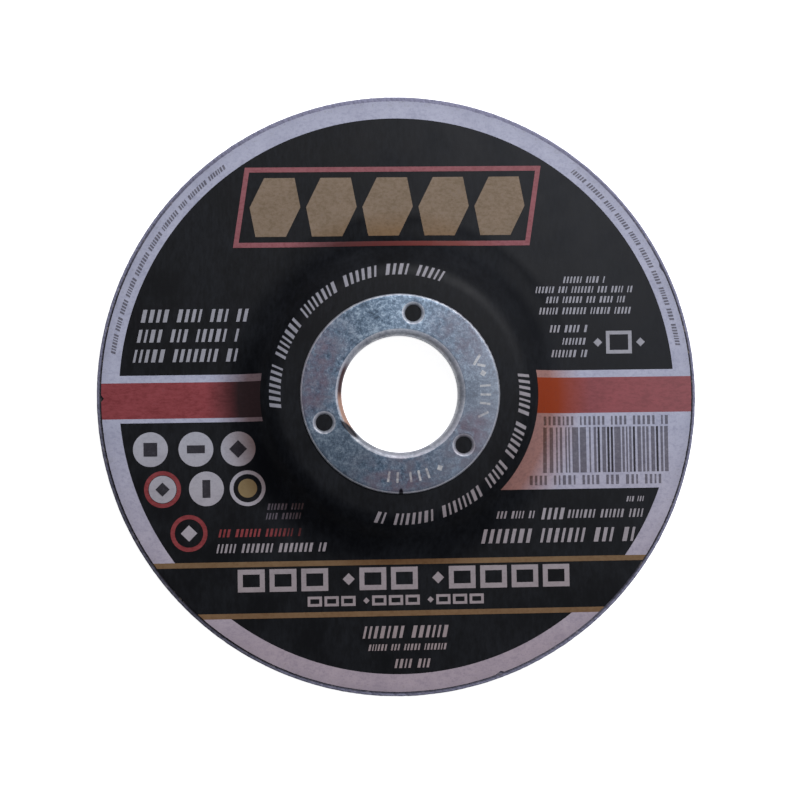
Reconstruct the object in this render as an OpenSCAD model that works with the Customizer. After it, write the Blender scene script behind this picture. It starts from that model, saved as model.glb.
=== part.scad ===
// Depressed-centre grinding disc, lying on its working face with its label up.
// The origin is the centre of the working face, and +Z runs along the bore to the label side.

/* [Disc] */
// Outer diameter of the disc
disc_d = 115; // [105:1:130]
// Thickness of the plate with its label
disc_t = 3.2; // [2.5:0.1:6]
// Height that the hub is raised by, which is also the depth of the recess
hub_rise = 4.6; // [3:0.1:5.5]
// Width of the hub's flat top beyond the steel flange
hub_shelf = 3.5; // [2:0.1:5]
// Width of the slope between the hub's flat top and the plate
slope_w = 11.5; // [9.5:0.1:14]
// Radius of the corner between the floor and the slope of the recess
recess_corner_r = 2.3; // [1:0.1:4]
// Rounding of the rim's two edges
rim_r = 0.4; // [0.1:0.1:0.8]

/* [Steel bushing] */
// Diameter of the bore that takes the spindle
bore_d = 22.23; // [20:0.01:24]
// Width of the flange, from the bore's wall to its edge
flange_w = 7.9; // [7:0.1:9]
// Thickness of the steel sheet
sheet_t = 0.5; // [0.4:0.05:0.6]
// Radius of the lip where the flange turns down into the bore
lip_r = 1.2; // [1:0.1:1.6]
// Rounding of the flange's upper outside edge
flange_edge_r = 0.35; // [0.1:0.05:0.38]
// Distance that the end of the collar stands back from the floor of the recess
collar_back = 0.2; // [0.1:0.1:1]
// Number of anchoring holes in the flange
anchor_count = 3; // [2:1:5]
// Diameter of an anchoring hole
anchor_d = 3.1; // [2.6:0.1:3.8]
// Distance of the anchoring holes from the middle of the flange's flat, outwards
anchor_shift = -0.2; // [-0.4:0.1:0.4]
// Angle of the first anchoring hole
anchor_turn = 81; // [0:1:119]
// Radius of the drawn lip round an anchoring hole
anchor_lip_r = 0.62; // [0.62:0.01:0.8]
// Depth that a drawn lip reaches below the flange
anchor_reach = 1.1; // [0.8:0.1:1.6]

/* [Paper label] */
// Width of the bare abrasive between the label and the rim
label_margin = 0.9; // [0.5:0.1:3]
// Thickness of the label
label_t = 0.2; // [0.15:0.05:0.4]
// Gap between the label's hole and the lip of the bushing
label_gap = 0.2; // [0.1:0.05:1]
// Angle that the label was pressed on at
label_turn = 0.8; // [-3:0.1:3]

/* [Glass net] */
// Width of the plain abrasive between the net and the rim
net_margin = 1.5; // [1:0.1:4]
// Width of the plain abrasive between the net and the bushing's collar
net_bore_gap = 2.9; // [2:0.1:5]
// Depth of the net in the working face
net_t = 0.3; // [0.2:0.05:0.5]
// Spacing of the threads
net_pitch = 8; // [8:0.5:14]
// Width of a thread
thread_w = 1.2; // [0.8:0.1:2]

/* [Print] */
// Thickness of the printed ink
ink_t = 0.05; // [0.04:0.01:0.1]
// Width of the silver border
border_w = 3.2; // [2:0.1:5]
// Diameter of the plain circle that the print leaves round the hub
hub_clear_d = 53; // [48:0.5:60]
// Height of the red band
band_h = 6.85; // [4:0.05:9]
// Distance that the band's middle lies below the bore's axis
band_drop = 0.55; // [0:0.05:2]
// Height of the silver line above the band
upper_stripe_h = 1.4; // [0.5:0.05:2]
// Height of the silver line below the band
lower_stripe_h = 0.8; // [0.5:0.05:2]
// Height of the silver code panel below the lower line
code_h = 13.75; // [8:0.05:17]
// Height of a gold line
gold_line_h = 1.35; // [0.8:0.05:2]
// Distance of the lower gold line from the border's lowest point
gold_foot = 10.5; // [8:0.1:12]
// Height of the black panel between the two gold lines
panel_h = 8.75; // [7:0.05:10]
// Width of the frame round the motif
frame_w = 57; // [44:0.5:60]
// Height of the frame round the motif
frame_h = 15.6; // [12:0.1:17]
// Distance of the frame's upper corners from the border
frame_gap = 1.05; // [0.4:0.05:2]
// Width of the frame's line
frame_line = 1.15; // [0.6:0.05:2]
// Number of plates in the motif
plate_count = 5; // [3:1:7]
// Gap between the plates, and between them and the frame
plate_gap = 1.1; // [0.6:0.1:2]

/* [Hidden] */
$fn = 180;

disc_r = disc_d / 2;
bore_r = bore_d / 2;
collar_r = bore_r + sheet_t;
flange_r = bore_r + flange_w;
label_r = disc_r - label_margin;
anchor_r = anchor_d / 2;
anchor_circle_r = (bore_r + lip_r + flange_r) / 2 + anchor_shift;
net_r = disc_r - net_margin;
net_bore_r = collar_r + net_bore_gap;

// Heights: the label's face on the plate and on the hub, and the flange's face
plate_z = disc_t;
hub_z = disc_t + hub_rise;
flange_z = hub_z + sheet_t;
collar_z = hub_rise + collar_back;

// The slope of the hub is two arcs that meet at one tangent: a shoulder on top and a hollow at its foot.
recess_r = flange_r + hub_shelf;
foot_r = recess_r + slope_w;
slope_angle = 2 * atan(hub_rise / slope_w);
shoulder_r = recess_corner_r + disc_t;
hollow_r = slope_w / sin(slope_angle) - shoulder_r;

// Places of the print: border's inner edge, band's edges, gold lines' lower edges, frame's middle
border_r = label_r - border_w;
band_top_y = band_h / 2 - band_drop;
band_foot_y = band_top_y - band_h;
lower_line_y = gold_foot - border_r;
upper_line_y = lower_line_y + gold_line_h + panel_h;
frame_y = sqrt(pow(border_r - frame_gap, 2) - pow(frame_w / 2, 2)) - frame_h / 2;

// Largest turn between two points of an arc in the hub's section
arc_step = 6;
// Length that a cutting shape runs past the solid it cuts
over = 1;

// Nicks in the label's edge: angle, depth and width of each
nicks = [[26, 0.5, 0.6], [72, 0.4, 0.5], [181, 0.6, 0.4], [290, 1.1, 0.45]];

// Points of an arc round a centre, from angle a1 to angle a2, in even steps of arc_step at most
function arc_points(centre, r, a1, a2) =
    let (steps = ceil(abs(a2 - a1) / arc_step))
    [for (i = [0 : steps]) centre + r * [cos(a1 + (a2 - a1) * i / steps), sin(a1 + (a2 - a1) * i / steps)]];

// Line that runs at depth d under the label's face, from the axis over the shoulder and the hollow to the rim
function depth_line(d) = concat(
    [[0, hub_z - d]],
    arc_points([recess_r, hub_z - shoulder_r], shoulder_r - d, 90, 90 - slope_angle),
    arc_points([foot_r, plate_z + hollow_r], hollow_r + d, 270 - slope_angle, 270),
    [[disc_r, plate_z - d]]
);

// The same points in the opposite order
function reversed(points) = [for (i = [len(points) - 1 : -1 : 0]) points[i]];

// Section of a layer that follows the hub, from depth d1 to depth d2 under the label's face
module layer_section(d1, d2, r_in, r_out) {
    intersection() {
        translate([r_in, -over])
            square([r_out - r_in, flange_z + 2 * over]);
        polygon(concat(depth_line(d1), reversed(depth_line(d2))));
    }
}

// Corner that a rounding takes off, with the rounded corner at the origin and the solid at -X, -Y
module corner_cut(r) {
    difference() {
        translate([-r, -r])
            square([r + over, r + over]);
        translate([-r, -r])
            circle(r = r);
    }
}

// Section of sheet turned down round a hole: the bend and the collar below it
module lip_section(hole_r, bend_r, top_z, end_z) {
    translate([hole_r + bend_r, top_z - bend_r])
        intersection() {
            difference() {
                circle(r = bend_r);
                circle(r = bend_r - sheet_t);
            }
            translate([-bend_r - over, 0])
                square(bend_r + over);
        }
    translate([hole_r, end_z])
        square([sheet_t, top_z - bend_r - end_z]);
}

// Section of the space that such a sheet takes behind the flange, down to end_z
module lip_space(hole_r, bend_r, end_z) {
    bend_z = flange_z - bend_r;
    translate([0, end_z])
        square([hole_r + sheet_t, flange_z - end_z]);
    difference() {
        translate([0, bend_z])
            square([hole_r + bend_r, bend_r]);
        translate([hole_r + bend_r, bend_z])
            circle(r = bend_r - sheet_t);
    }
}

// Section of the whole bushing
module bushing_section() {
    lip_section(bore_r, lip_r, flange_z, collar_z);
    difference() {
        translate([bore_r + lip_r, hub_z])
            square([flange_r - bore_r - lip_r, sheet_t]);
        translate([flange_r, flange_z])
            corner_cut(flange_edge_r);
    }
}

// Places its children at each anchoring hole
module at_anchors() {
    for (i = [0 : anchor_count - 1])
        rotate(anchor_turn + i * 360 / anchor_count)
            translate([anchor_circle_r, 0])
                children();
}

// Section of the moulding before its bore is formed
module body_section() {
    difference() {
        layer_section(label_t, disc_t, 0, disc_r);
        layer_section(disc_t - net_t, disc_t + net_t, net_bore_r, net_r);
        translate([disc_r, plate_z - label_t])
            corner_cut(rim_r);
        translate([disc_r, 0])
            mirror([0, 1])
                corner_cut(rim_r);
    }
}

// The moulding has set against the back of the steel, and fills the drawn lips of the anchoring holes
module abrasive_body() {
    color("#232226")
        difference() {
            rotate_extrude()
                difference() {
                    body_section();
                    lip_space(bore_r, lip_r, 0);
                }
            at_anchors()
                difference() {
                    rotate_extrude()
                        lip_space(anchor_r, anchor_lip_r, hub_z - anchor_reach);
                    cylinder(r = anchor_r, h = flange_z);
                }
        }
}

module steel_bushing() {
    color("#9aa3b2") {
        difference() {
            rotate_extrude()
                bushing_section();
            at_anchors()
                translate([0, 0, hub_z - over])
                    cylinder(r = anchor_r + anchor_lip_r, h = sheet_t + 2 * over);
        }
        at_anchors()
            rotate_extrude()
                lip_section(anchor_r, anchor_lip_r, flange_z, hub_z - anchor_reach);
    }
}

// Outline of the nicks, as notches with their points towards the centre
module nicks_2d() {
    for (n = nicks)
        rotate(n[0])
            polygon([[label_r - n[1], 0], [label_r + over, -n[2]], [label_r + over, n[2]]]);
}

module paper_label() {
    color("#1b1b1f")
        difference() {
            rotate_extrude()
                layer_section(0, label_t, bore_r + lip_r + label_gap, label_r);
            translate([0, 0, -over])
                linear_extrude(height = flange_z + 2 * over)
                    nicks_2d();
            at_anchors()
                cylinder(r = anchor_r + anchor_lip_r, h = flange_z + over);
        }
}

// Threads of the net, crossing at right angles
module threads_2d() {
    side = floor(net_r / net_pitch);
    for (i = [-side - 0.5 : side + 0.5]) {
        translate([i * net_pitch - thread_w / 2, -disc_r])
            square([thread_w, disc_d]);
        translate([-disc_r, i * net_pitch - thread_w / 2])
            square([disc_d, thread_w]);
    }
}

module glass_net() {
    color("#b9ad86")
        intersection() {
            rotate_extrude()
                layer_section(disc_t - net_t, disc_t, net_bore_r, net_r);
            translate([0, 0, -over])
                linear_extrude(height = hub_z)
                    threads_2d();
        }
}

// Lays a flat outline on the label as ink, so that it follows the hub
module ink() {
    intersection() {
        rotate_extrude()
            layer_section(-ink_t, 0, flange_r + over, label_r);
        translate([0, 0, plate_z - over])
            linear_extrude(height = hub_rise + 3 * over)
                difference() {
                    rotate(label_turn)
                        children();
                    nicks_2d();
                }
    }
}

// Level strip across the label, from y1 up to y2
module strip_2d(y1, y2) {
    translate([-disc_r, y1])
        square([disc_d, y2 - y1]);
}

module print_silver() {
    stripe_foot_y = band_foot_y - lower_stripe_h;
    color("#b4b6bf")
        ink()
            difference() {
                union() {
                    difference() {
                        circle(r = label_r + over);
                        circle(r = border_r);
                        strip_2d(lower_line_y, upper_line_y + gold_line_h);
                    }
                    strip_2d(stripe_foot_y, band_top_y + upper_stripe_h);
                    translate([0, stripe_foot_y - code_h])
                        square([label_r, code_h + over]);
                }
                circle(d = hub_clear_d);
                strip_2d(band_foot_y, band_top_y);
            }
}

module print_red() {
    color("#8c2f26")
        ink() {
            difference() {
                strip_2d(band_foot_y, band_top_y);
                circle(d = hub_clear_d);
            }
            translate([0, frame_y])
                difference() {
                    square([frame_w, frame_h], center = true);
                    square([frame_w - 2 * frame_line, frame_h - 2 * frame_line], center = true);
                }
        }
}

// Motif in the frame: a row of six-sided plates
module plates_2d() {
    inside_w = frame_w - 2 * frame_line - plate_gap;
    plate_w = inside_w / plate_count - plate_gap;
    plate_h = frame_h - 2 * frame_line - 2 * plate_gap;
    point_w = plate_w / 5;
    for (i = [0 : plate_count - 1])
        translate([(i - (plate_count - 1) / 2) * inside_w / plate_count, 0])
            polygon([
                [-plate_w / 2, 0],
                [-plate_w / 2 + point_w, -plate_h / 2],
                [plate_w / 2 - point_w, -plate_h / 2],
                [plate_w / 2, 0],
                [plate_w / 2 - point_w, plate_h / 2],
                [-plate_w / 2 + point_w, plate_h / 2]
            ]);
}

module print_gold() {
    color("#a38a57")
        ink() {
            strip_2d(lower_line_y, lower_line_y + gold_line_h);
            strip_2d(upper_line_y, upper_line_y + gold_line_h);
            translate([0, frame_y])
                plates_2d();
        }
}

abrasive_body();
steel_bushing();
paper_label();
glass_net();
print_silver();
print_red();
print_gold();
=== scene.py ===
"""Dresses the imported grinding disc: its pieces, their finishes, the studio and the camera."""

import logging
import math
import random
from dataclasses import dataclass, field
from enum import Enum
from typing import Callable, Iterable, Optional

import bmesh
import bpy
from mathutils import Matrix, Vector, noise


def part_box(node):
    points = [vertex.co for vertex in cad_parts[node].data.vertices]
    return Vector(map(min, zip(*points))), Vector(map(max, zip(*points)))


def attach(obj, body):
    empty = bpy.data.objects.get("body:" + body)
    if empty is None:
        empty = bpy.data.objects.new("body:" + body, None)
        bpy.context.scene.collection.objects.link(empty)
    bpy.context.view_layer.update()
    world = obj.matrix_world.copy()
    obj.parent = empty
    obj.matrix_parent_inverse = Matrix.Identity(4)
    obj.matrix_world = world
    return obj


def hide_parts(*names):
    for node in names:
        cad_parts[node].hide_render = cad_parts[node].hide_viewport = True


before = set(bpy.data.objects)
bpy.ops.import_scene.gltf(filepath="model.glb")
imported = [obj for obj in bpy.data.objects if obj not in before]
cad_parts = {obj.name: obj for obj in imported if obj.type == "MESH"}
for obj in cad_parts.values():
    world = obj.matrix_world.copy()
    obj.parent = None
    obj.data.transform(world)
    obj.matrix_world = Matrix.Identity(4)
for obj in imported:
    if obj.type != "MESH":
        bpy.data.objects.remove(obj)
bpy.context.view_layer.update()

LOG = logging.getLogger("grinding_disc")
MM = 0.001
# Vertices that are closer than this, in millimetres, are one, and cuts are this exact.
MERGE_GAP = 1e-4
CUT_GAP = 1e-5

Keep = Callable[[float, float], bool]


class Ink(Enum):
    """The inks that the label is printed with."""

    SILVER = "silver"
    RED = "red"
    ROSE = "rose"
    GOLD = "gold"
    OCHRE = "ochre"
    GREY = "grey"
    WHITE = "white"
    BLACK = "black"
    FAINT = "faint"
    OLIVE = "olive"


def box_high(node: str) -> Vector:
    """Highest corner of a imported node, in millimetres."""
    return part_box(node)[1] / MM


def box_low(node: str) -> Vector:
    """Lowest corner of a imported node, in millimetres."""
    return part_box(node)[0] / MM


@dataclass(frozen=True)
class DiscForm:
    """Sizes of the disc in millimetres, and the section that all its layers follow."""

    disc_r: float = box_high("abrasive_body").x
    label_r: float = box_high("paper_label").x
    flange_r: float = box_high("steel_bushing").x
    flange_z: float = box_high("steel_bushing").z
    hub_z: float = box_high("paper_label").z
    collar_z: float = box_low("steel_bushing").z
    plate_z: float = 3.2
    label_t: float = 0.2
    sheet_t: float = 0.5
    bore_r: float = 11.115
    hub_shelf: float = 3.5
    slope_w: float = 11.5
    corner_r: float = 2.3
    lip_r: float = 1.2
    plate_rings: tuple[float, float] = (40.0, 47.0)
    slope_steps: int = 16
    turns: int = 540

    @property
    def rise(self) -> float:
        """Height of the hub's face over the plate's face."""
        return self.hub_z - self.plate_z

    @property
    def recess_r(self) -> float:
        """Radius where the hub's flat top ends."""
        return self.flange_r + self.hub_shelf

    @property
    def foot_r(self) -> float:
        """Radius where the slope has run out into the plate."""
        return self.recess_r + self.slope_w

    @property
    def slope_angle(self) -> float:
        """Steepest angle of the slope, in radians."""
        return 2 * math.atan(self.rise / self.slope_w)

    def face_z(self, r: float, depth: float = 0.0) -> float:
        """Height of the layer that lies a depth under the label's face.

        Args:
            r: distance from the bore's axis.
            depth: depth of the layer, less than nought above the label.

        Returns:
            The height over the floor.
        """
        top_r = self.corner_r + self.plate_z
        foot_radius = self.slope_w / math.sin(self.slope_angle) - top_r
        shoulder, hollow = top_r - depth, foot_radius + depth
        if r <= self.recess_r:
            return self.hub_z - depth
        if r >= self.foot_r:
            return self.plate_z - depth
        if r < self.recess_r + shoulder * math.sin(self.slope_angle):
            return self.hub_z - top_r + math.sqrt(shoulder**2 - (r - self.recess_r) ** 2)
        return self.plate_z + foot_radius - math.sqrt(hollow**2 - (self.foot_r - r) ** 2)

    def radii(self, r_in: float, r_out: float, stops: Iterable[float] = ()) -> list[float]:
        """Radii of the rings that a layer needs, close together on the slope.

        Args:
            r_in: radius of the innermost ring.
            r_out: radius of the outermost ring.
            stops: other radii that get a ring.

        Returns:
            The radii in rising order.
        """
        steps = self.slope_steps
        slope = [self.recess_r + self.slope_w * i / steps for i in range(steps + 1)]
        wanted = (*slope, *self.plate_rings, *stops)
        every = {round(r, 4) for r in wanted if r_in < r < r_out}
        return sorted({r_in, r_out} | every)


@dataclass(frozen=True)
class LabelPlan:
    """Where the print stands on the label, in millimetres, before the label's own turn.

    Each nick in the label's edge has its angle in degrees, its depth and half its width, and
    each chip of the edge its depth and how many there are in the length of a radius.
    """

    border_w: float = 3.35
    hub_clear_r: float = 26.5
    band_h: float = 6.85
    band_drop: float = 0.55
    upper_stripe_h: float = 1.4
    lower_stripe_h: float = 0.8
    code_h: float = 13.75
    gold_line_h: float = 1.0
    gold_foot: float = 11.08
    panel_h: float = 8.77
    frame_x: float = -1.55
    frame_lean: float = 0.16
    frame_w: float = 57.0
    frame_h: float = 15.4
    frame_gap: float = 0.9
    frame_line: float = 0.95
    plate_count: int = 5
    plate_gap: float = 1.1
    turn: float = math.radians(0.95)
    ink_t: float = 0.05
    plate_draw: float = 0.4
    edge_ring_w: float = 1.5
    chips: tuple[tuple[float, float], ...] = ((0.05, 38.0), (0.06, 90.0))
    nicks: tuple[tuple[float, float, float], ...] = (
        (26, 0.5, 0.6),
        (72, 0.4, 0.5),
        (181, 0.6, 0.4),
        (290, 1.1, 0.45),
    )

    @property
    def band_top(self) -> float:
        """Height of the red band's upper edge over the bore's axis."""
        return self.band_h / 2 - self.band_drop

    @property
    def band_foot(self) -> float:
        """Height of the red band's lower edge."""
        return self.band_top - self.band_h

    @property
    def stripes_top(self) -> float:
        """Height of the upper silver line's upper edge."""
        return self.band_top + self.upper_stripe_h

    @property
    def stripes_foot(self) -> float:
        """Height of the lower silver line's lower edge."""
        return self.band_foot - self.lower_stripe_h

    @property
    def code_foot(self) -> float:
        """Height of the code panel's lower edge."""
        return self.stripes_foot - self.code_h


FORM = DiscForm()
PLAN = LabelPlan()
BORDER_R = FORM.label_r - PLAN.border_w
EDGE_RING_R = FORM.label_r - PLAN.edge_ring_w
LOWER_LINE_Y = PLAN.gold_foot - BORDER_R
UPPER_LINE_Y = LOWER_LINE_Y + PLAN.gold_line_h + PLAN.panel_h
FRAME_Y = math.sqrt((BORDER_R - PLAN.frame_gap) ** 2 - (PLAN.frame_w / 2) ** 2) - PLAN.frame_h / 2


def srgb(code: str) -> tuple[float, float, float, float]:
    """Turns a hex sRGB colour to the linear one that the shaders take.

    Args:
        code: the colour, with its leading mark.

    Returns:
        The linear colour, opaque.
    """
    parts = [int(code[i : i + 2], 16) / 255 for i in (1, 3, 5)]
    linear = [p / 12.92 if p <= 0.04045 else ((p + 0.055) / 1.055) ** 2.4 for p in parts]
    return (linear[0], linear[1], linear[2], 1.0)


def per_size(size_mm: float) -> float:
    """Scale of a pattern whose marks are that many millimetres apart, on metre coordinates."""
    return 1.0 / (size_mm * MM)


def add_node(
    tree: bpy.types.NodeTree,
    kind: str,
    settings: Optional[dict] = None,
    links: Optional[dict] = None,
) -> bpy.types.Node:
    """Adds a shader node.

    Args:
        tree: the node tree.
        kind: the node's type.
        settings: its properties and unlinked sockets; "stops" holds a colour ramp's stops.
        links: its sockets, by name or number, with the output that feeds each.

    Returns:
        The node.
    """
    node = tree.nodes.new(kind)
    for name, value in (settings or {}).items():
        if name == "stops":
            ramp = node.color_ramp
            while len(ramp.elements) < len(value):
                ramp.elements.new(0.5)
            for element, (place, colour) in zip(ramp.elements, value):
                element.position = place
                element.color = colour
        elif isinstance(name, str) and hasattr(node, name):
            setattr(node, name, value)
        else:
            node.inputs[name].default_value = value
    for name, output in (links or {}).items():
        tree.links.new(output, node.inputs[name])
    return node


def new_material(name: str) -> tuple[bpy.types.Material, bpy.types.NodeTree, bpy.types.NodeSocket]:
    """Starts a material.

    Args:
        name: its name.

    Returns:
        The material, its emptied node tree and the Object coordinates' output.
    """
    material = bpy.data.materials.new(name)
    material.use_nodes = True
    tree = material.node_tree
    tree.nodes.clear()
    return material, tree, add_node(tree, "ShaderNodeTexCoord").outputs["Object"]


def close_material(tree: bpy.types.NodeTree, settings: dict, links: dict) -> None:
    """Ends a tree with a Principled shader and the output.

    Args:
        tree: the node tree.
        settings: the shader's unlinked sockets.
        links: its other sockets, with the output that feeds each.
    """
    shader = add_node(tree, "ShaderNodeBsdfPrincipled", settings, links)
    add_node(tree, "ShaderNodeOutputMaterial", links={"Surface": shader.outputs["BSDF"]})


def grey(level: float) -> tuple[float, float, float, float]:
    """A neutral ramp colour of that level."""
    return (level, level, level, 1.0)


def from_axis(
    tree: bpy.types.NodeTree, place: bpy.types.NodeSocket
) -> tuple[bpy.types.NodeSocket, bpy.types.NodeSocket]:
    """Distance from the bore's axis, and the way that points there.

    Args:
        tree: the material's tree.
        place: the Object coordinates.

    Returns:
        The outputs with the distance and with the flat vector.
    """
    flat = add_node(
        tree, "ShaderNodeVectorMath", {"operation": "MULTIPLY", 1: (1.0, 1.0, 0.0)}, {0: place}
    ).outputs["Vector"]
    radius = add_node(tree, "ShaderNodeVectorMath", {"operation": "LENGTH"}, {0: flat})
    return radius.outputs["Value"], flat


@dataclass(frozen=True)
class Side:
    """A soft-edged side of the disc, seen from the bore's axis.

    Attributes:
        middle: its middle, in degrees.
        gap_none: degrees from the middle where the mask has gone.
        gap_full: degrees from the middle where it is still full.
        most: its full value.
    """

    middle: float
    gap_none: float
    gap_full: float
    most: float = 1.0

    def mask(self, tree: bpy.types.NodeTree, place: bpy.types.NodeSocket) -> bpy.types.NodeSocket:
        """Masks the side.

        Args:
            tree: the material's tree.
            place: the Object coordinates.

        Returns:
            The output that has the full value at the middle and 0 on the far side.
        """
        flat = from_axis(tree, place)[1]
        way = add_node(tree, "ShaderNodeVectorMath", {"operation": "NORMALIZE"}, {0: flat})
        a = math.radians(self.middle)
        towards = add_node(
            tree,
            "ShaderNodeVectorMath",
            {"operation": "DOT_PRODUCT", 1: (math.cos(a), math.sin(a), 0.0)},
            {0: way.outputs["Vector"]},
        )
        return add_node(
            tree,
            "ShaderNodeMapRange",
            {
                "From Min": math.cos(math.radians(self.gap_none)),
                "From Max": math.cos(math.radians(self.gap_full)),
                "To Max": self.most,
            },
            {"Value": towards.outputs["Value"]},
        ).outputs["Result"]


@dataclass(frozen=True)
class Arc:
    """A soft-edged part of a ring round the bore, in millimetres and degrees.

    Attributes:
        middle: angle of its middle.
        half: degrees that it reaches to each side of the middle.
        r_in: its inner radius.
        r_out: its outer radius.
        soft: width of the soft edge at both radii.
        fade: degrees of the soft edge at both ends.
    """

    middle: float
    half: float
    r_in: float
    r_out: float
    soft: float = 0.25
    fade: float = 10.0

    def mask(self, tree: bpy.types.NodeTree, place: bpy.types.NodeSocket) -> bpy.types.NodeSocket:
        """Masks the arc.

        Args:
            tree: the material's tree.
            place: the Object coordinates.

        Returns:
            The output that is 1 in the arc and 0 outside.
        """
        radius = from_axis(tree, place)[0]
        mask = Side(self.middle, self.half + self.fade, self.half).mask(tree, place)
        for start, end in (
            (self.r_in - self.soft, self.r_in),
            (self.r_out + self.soft, self.r_out),
        ):
            side = add_node(
                tree,
                "ShaderNodeMapRange",
                {"From Min": start * MM, "From Max": end * MM},
                {"Value": radius},
            )
            mask = add_node(
                tree,
                "ShaderNodeMath",
                {"operation": "MULTIPLY"},
                {0: mask, 1: side.outputs["Result"]},
            ).outputs["Value"]
        return mask


@dataclass(frozen=True)
class Spot:
    """A soft-edged oval on the steel's face, in millimetres and degrees.

    Attributes:
        x: its middle.
        y: its middle.
        half_length: half its length.
        half_width: half its width.
        turn: angle of its length to X.
        soft: width of its soft edge, as a share of its half width.
        half_height: how far it reaches down into the sheet and up.
    """

    x: float
    y: float
    half_length: float
    half_width: float
    turn: float
    soft: float = 0.4
    half_height: float = 4.0

    def mask(self, tree: bpy.types.NodeTree, place: bpy.types.NodeSocket) -> bpy.types.NodeSocket:
        """Masks the spot.

        Args:
            tree: the material's tree.
            place: the Object coordinates.

        Returns:
            The output that is 1 in the spot and 0 outside.
        """
        oval = add_node(
            tree,
            "ShaderNodeMapping",
            {
                "vector_type": "TEXTURE",
                "Location": (self.x * MM, self.y * MM, FORM.flange_z * MM),
                "Rotation": (0.0, 0.0, math.radians(self.turn)),
                "Scale": (
                    self.half_length * MM,
                    self.half_width * MM,
                    self.half_height * MM,
                ),
            },
            {"Vector": place},
        )
        reach = add_node(
            tree,
            "ShaderNodeVectorMath",
            {"operation": "LENGTH"},
            {0: oval.outputs["Vector"]},
        )
        mask = add_node(
            tree,
            "ShaderNodeMapRange",
            {"From Min": 1.0 + self.soft / 2, "From Max": 1.0 - self.soft / 2},
            {"Value": reach.outputs["Value"]},
        )
        return mask.outputs["Result"]


def any_spot(
    tree: bpy.types.NodeTree, place: bpy.types.NodeSocket, spots: Iterable[Spot | Arc]
) -> bpy.types.NodeSocket:
    """Masks all of a row of spots and arcs.

    Args:
        tree: the material's tree.
        place: the Object coordinates.
        spots: the spots and arcs.

    Returns:
        The output that is 1 in any of them.
    """
    masks = [spot.mask(tree, place) for spot in spots]
    both = masks[0]
    for mask in masks[1:]:
        both = add_node(
            tree, "ShaderNodeMath", {"operation": "MAXIMUM"}, {0: both, 1: mask}
        ).outputs["Value"]
    return both


@dataclass(frozen=True)
class BondedAbrasive:
    """Brown alumina grit in black phenolic resin, pressed and baked.

    It looks dull and dark grey, with grit that glints where the resin skin is off.
    """

    resin: str = "#17161a"
    dust: str = "#2c2a2e"
    grain: str = "#5b534d"
    ground: str = "#85859b"
    grit_mm: float = 0.7
    patch_mm: float = 6.0
    trued_from: float = 0.7
    trued_full: float = 0.4
    trued_share: float = 0.85
    # Painted highlight on the rim at the top, and a little at its foot.
    rim_highlights: tuple[Side, Side] = (Side(90.0, 70.0, 15.0, 0.9), Side(283.0, 45.0, 25.0, 0.35))
    # Painted shade on the rim at the lower left.
    rim_shade: Side = Side(214.0, 40.0, 15.0, 0.6)

    def material(self) -> bpy.types.Material:
        """Builds the material.

        Returns:
            The material.
        """
        made, tree, place = new_material("bonded_abrasive")
        grit = add_node(
            tree,
            "ShaderNodeTexVoronoi",
            {"Scale": per_size(self.grit_mm), "Randomness": 1.0},
            {"Vector": place},
        )
        patches = add_node(
            tree,
            "ShaderNodeTexNoise",
            {"Scale": per_size(self.patch_mm), "Detail": 6.0, "Roughness": 0.65},
            {"Vector": place},
        )
        # A few grains show their own colour where the resin skin has come off them.
        bare = add_node(
            tree,
            "ShaderNodeValToRGB",
            {"stops": [(0.72, grey(0.0)), (0.9, grey(1.0))]},
            {"Fac": grit.outputs["Color"]},
        )
        base = add_node(
            tree,
            "ShaderNodeValToRGB",
            {"stops": [(0.35, srgb(self.resin)), (0.75, srgb(self.dust))]},
            {"Fac": patches.outputs["Fac"]},
        )
        colour = add_node(
            tree,
            "ShaderNodeMix",
            {"data_type": "RGBA", 7: srgb(self.grain)},
            {0: bare.outputs["Color"], 6: base.outputs["Color"]},
        )
        # The rim has been trued on a stone, and shows pale, dusty grit outside a dark line.
        radius = from_axis(tree, place)[0]
        trued = add_node(
            tree,
            "ShaderNodeMapRange",
            {
                "From Min": (FORM.disc_r - self.trued_from) * MM,
                "From Max": (FORM.disc_r - self.trued_full) * MM,
                "To Max": self.trued_share,
            },
            {"Value": radius},
        )
        # The dark line is painted lighter at the top of the label, as a painted highlight where the
        # lamp catches the rim, and a little at its foot.
        rim_highlights = add_node(
            tree,
            "ShaderNodeMath",
            {"operation": "MAXIMUM"},
            {number: side.mask(tree, place) for number, side in enumerate(self.rim_highlights)},
        )
        pale = add_node(
            tree,
            "ShaderNodeMath",
            {"operation": "MAXIMUM"},
            {0: trued.outputs["Result"], 1: rim_highlights.outputs["Value"]},
        )
        # At the lower left the rim has painted shade, on the side that turns away from the lamp.
        unshaded = add_node(
            tree,
            "ShaderNodeMath",
            {"operation": "MULTIPLY_ADD", 1: -1.0, 2: 1.0},
            {0: self.rim_shade.mask(tree, place)},
        )
        ground = add_node(
            tree,
            "ShaderNodeMath",
            {"operation": "MULTIPLY"},
            {0: pale.outputs["Value"], 1: unshaded.outputs["Value"]},
        )
        rim = add_node(
            tree,
            "ShaderNodeMix",
            {"data_type": "RGBA", 7: srgb(self.ground)},
            {0: ground.outputs["Value"], 6: colour.outputs[2]},
        )
        rough = add_node(
            tree,
            "ShaderNodeMapRange",
            {"To Min": 0.95, "To Max": 0.6},
            {"Value": bare.outputs["Color"]},
        )
        bump = add_node(
            tree,
            "ShaderNodeBump",
            {"Strength": 0.9, "Distance": 0.3 * MM, "invert": True},
            {"Height": grit.outputs["Distance"]},
        )
        close_material(
            tree,
            {"Specular IOR Level": 0.35},
            {
                "Base Color": rim.outputs[2],
                "Roughness": rough.outputs["Result"],
                "Normal": bump.outputs["Normal"],
            },
        )
        return made


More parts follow.
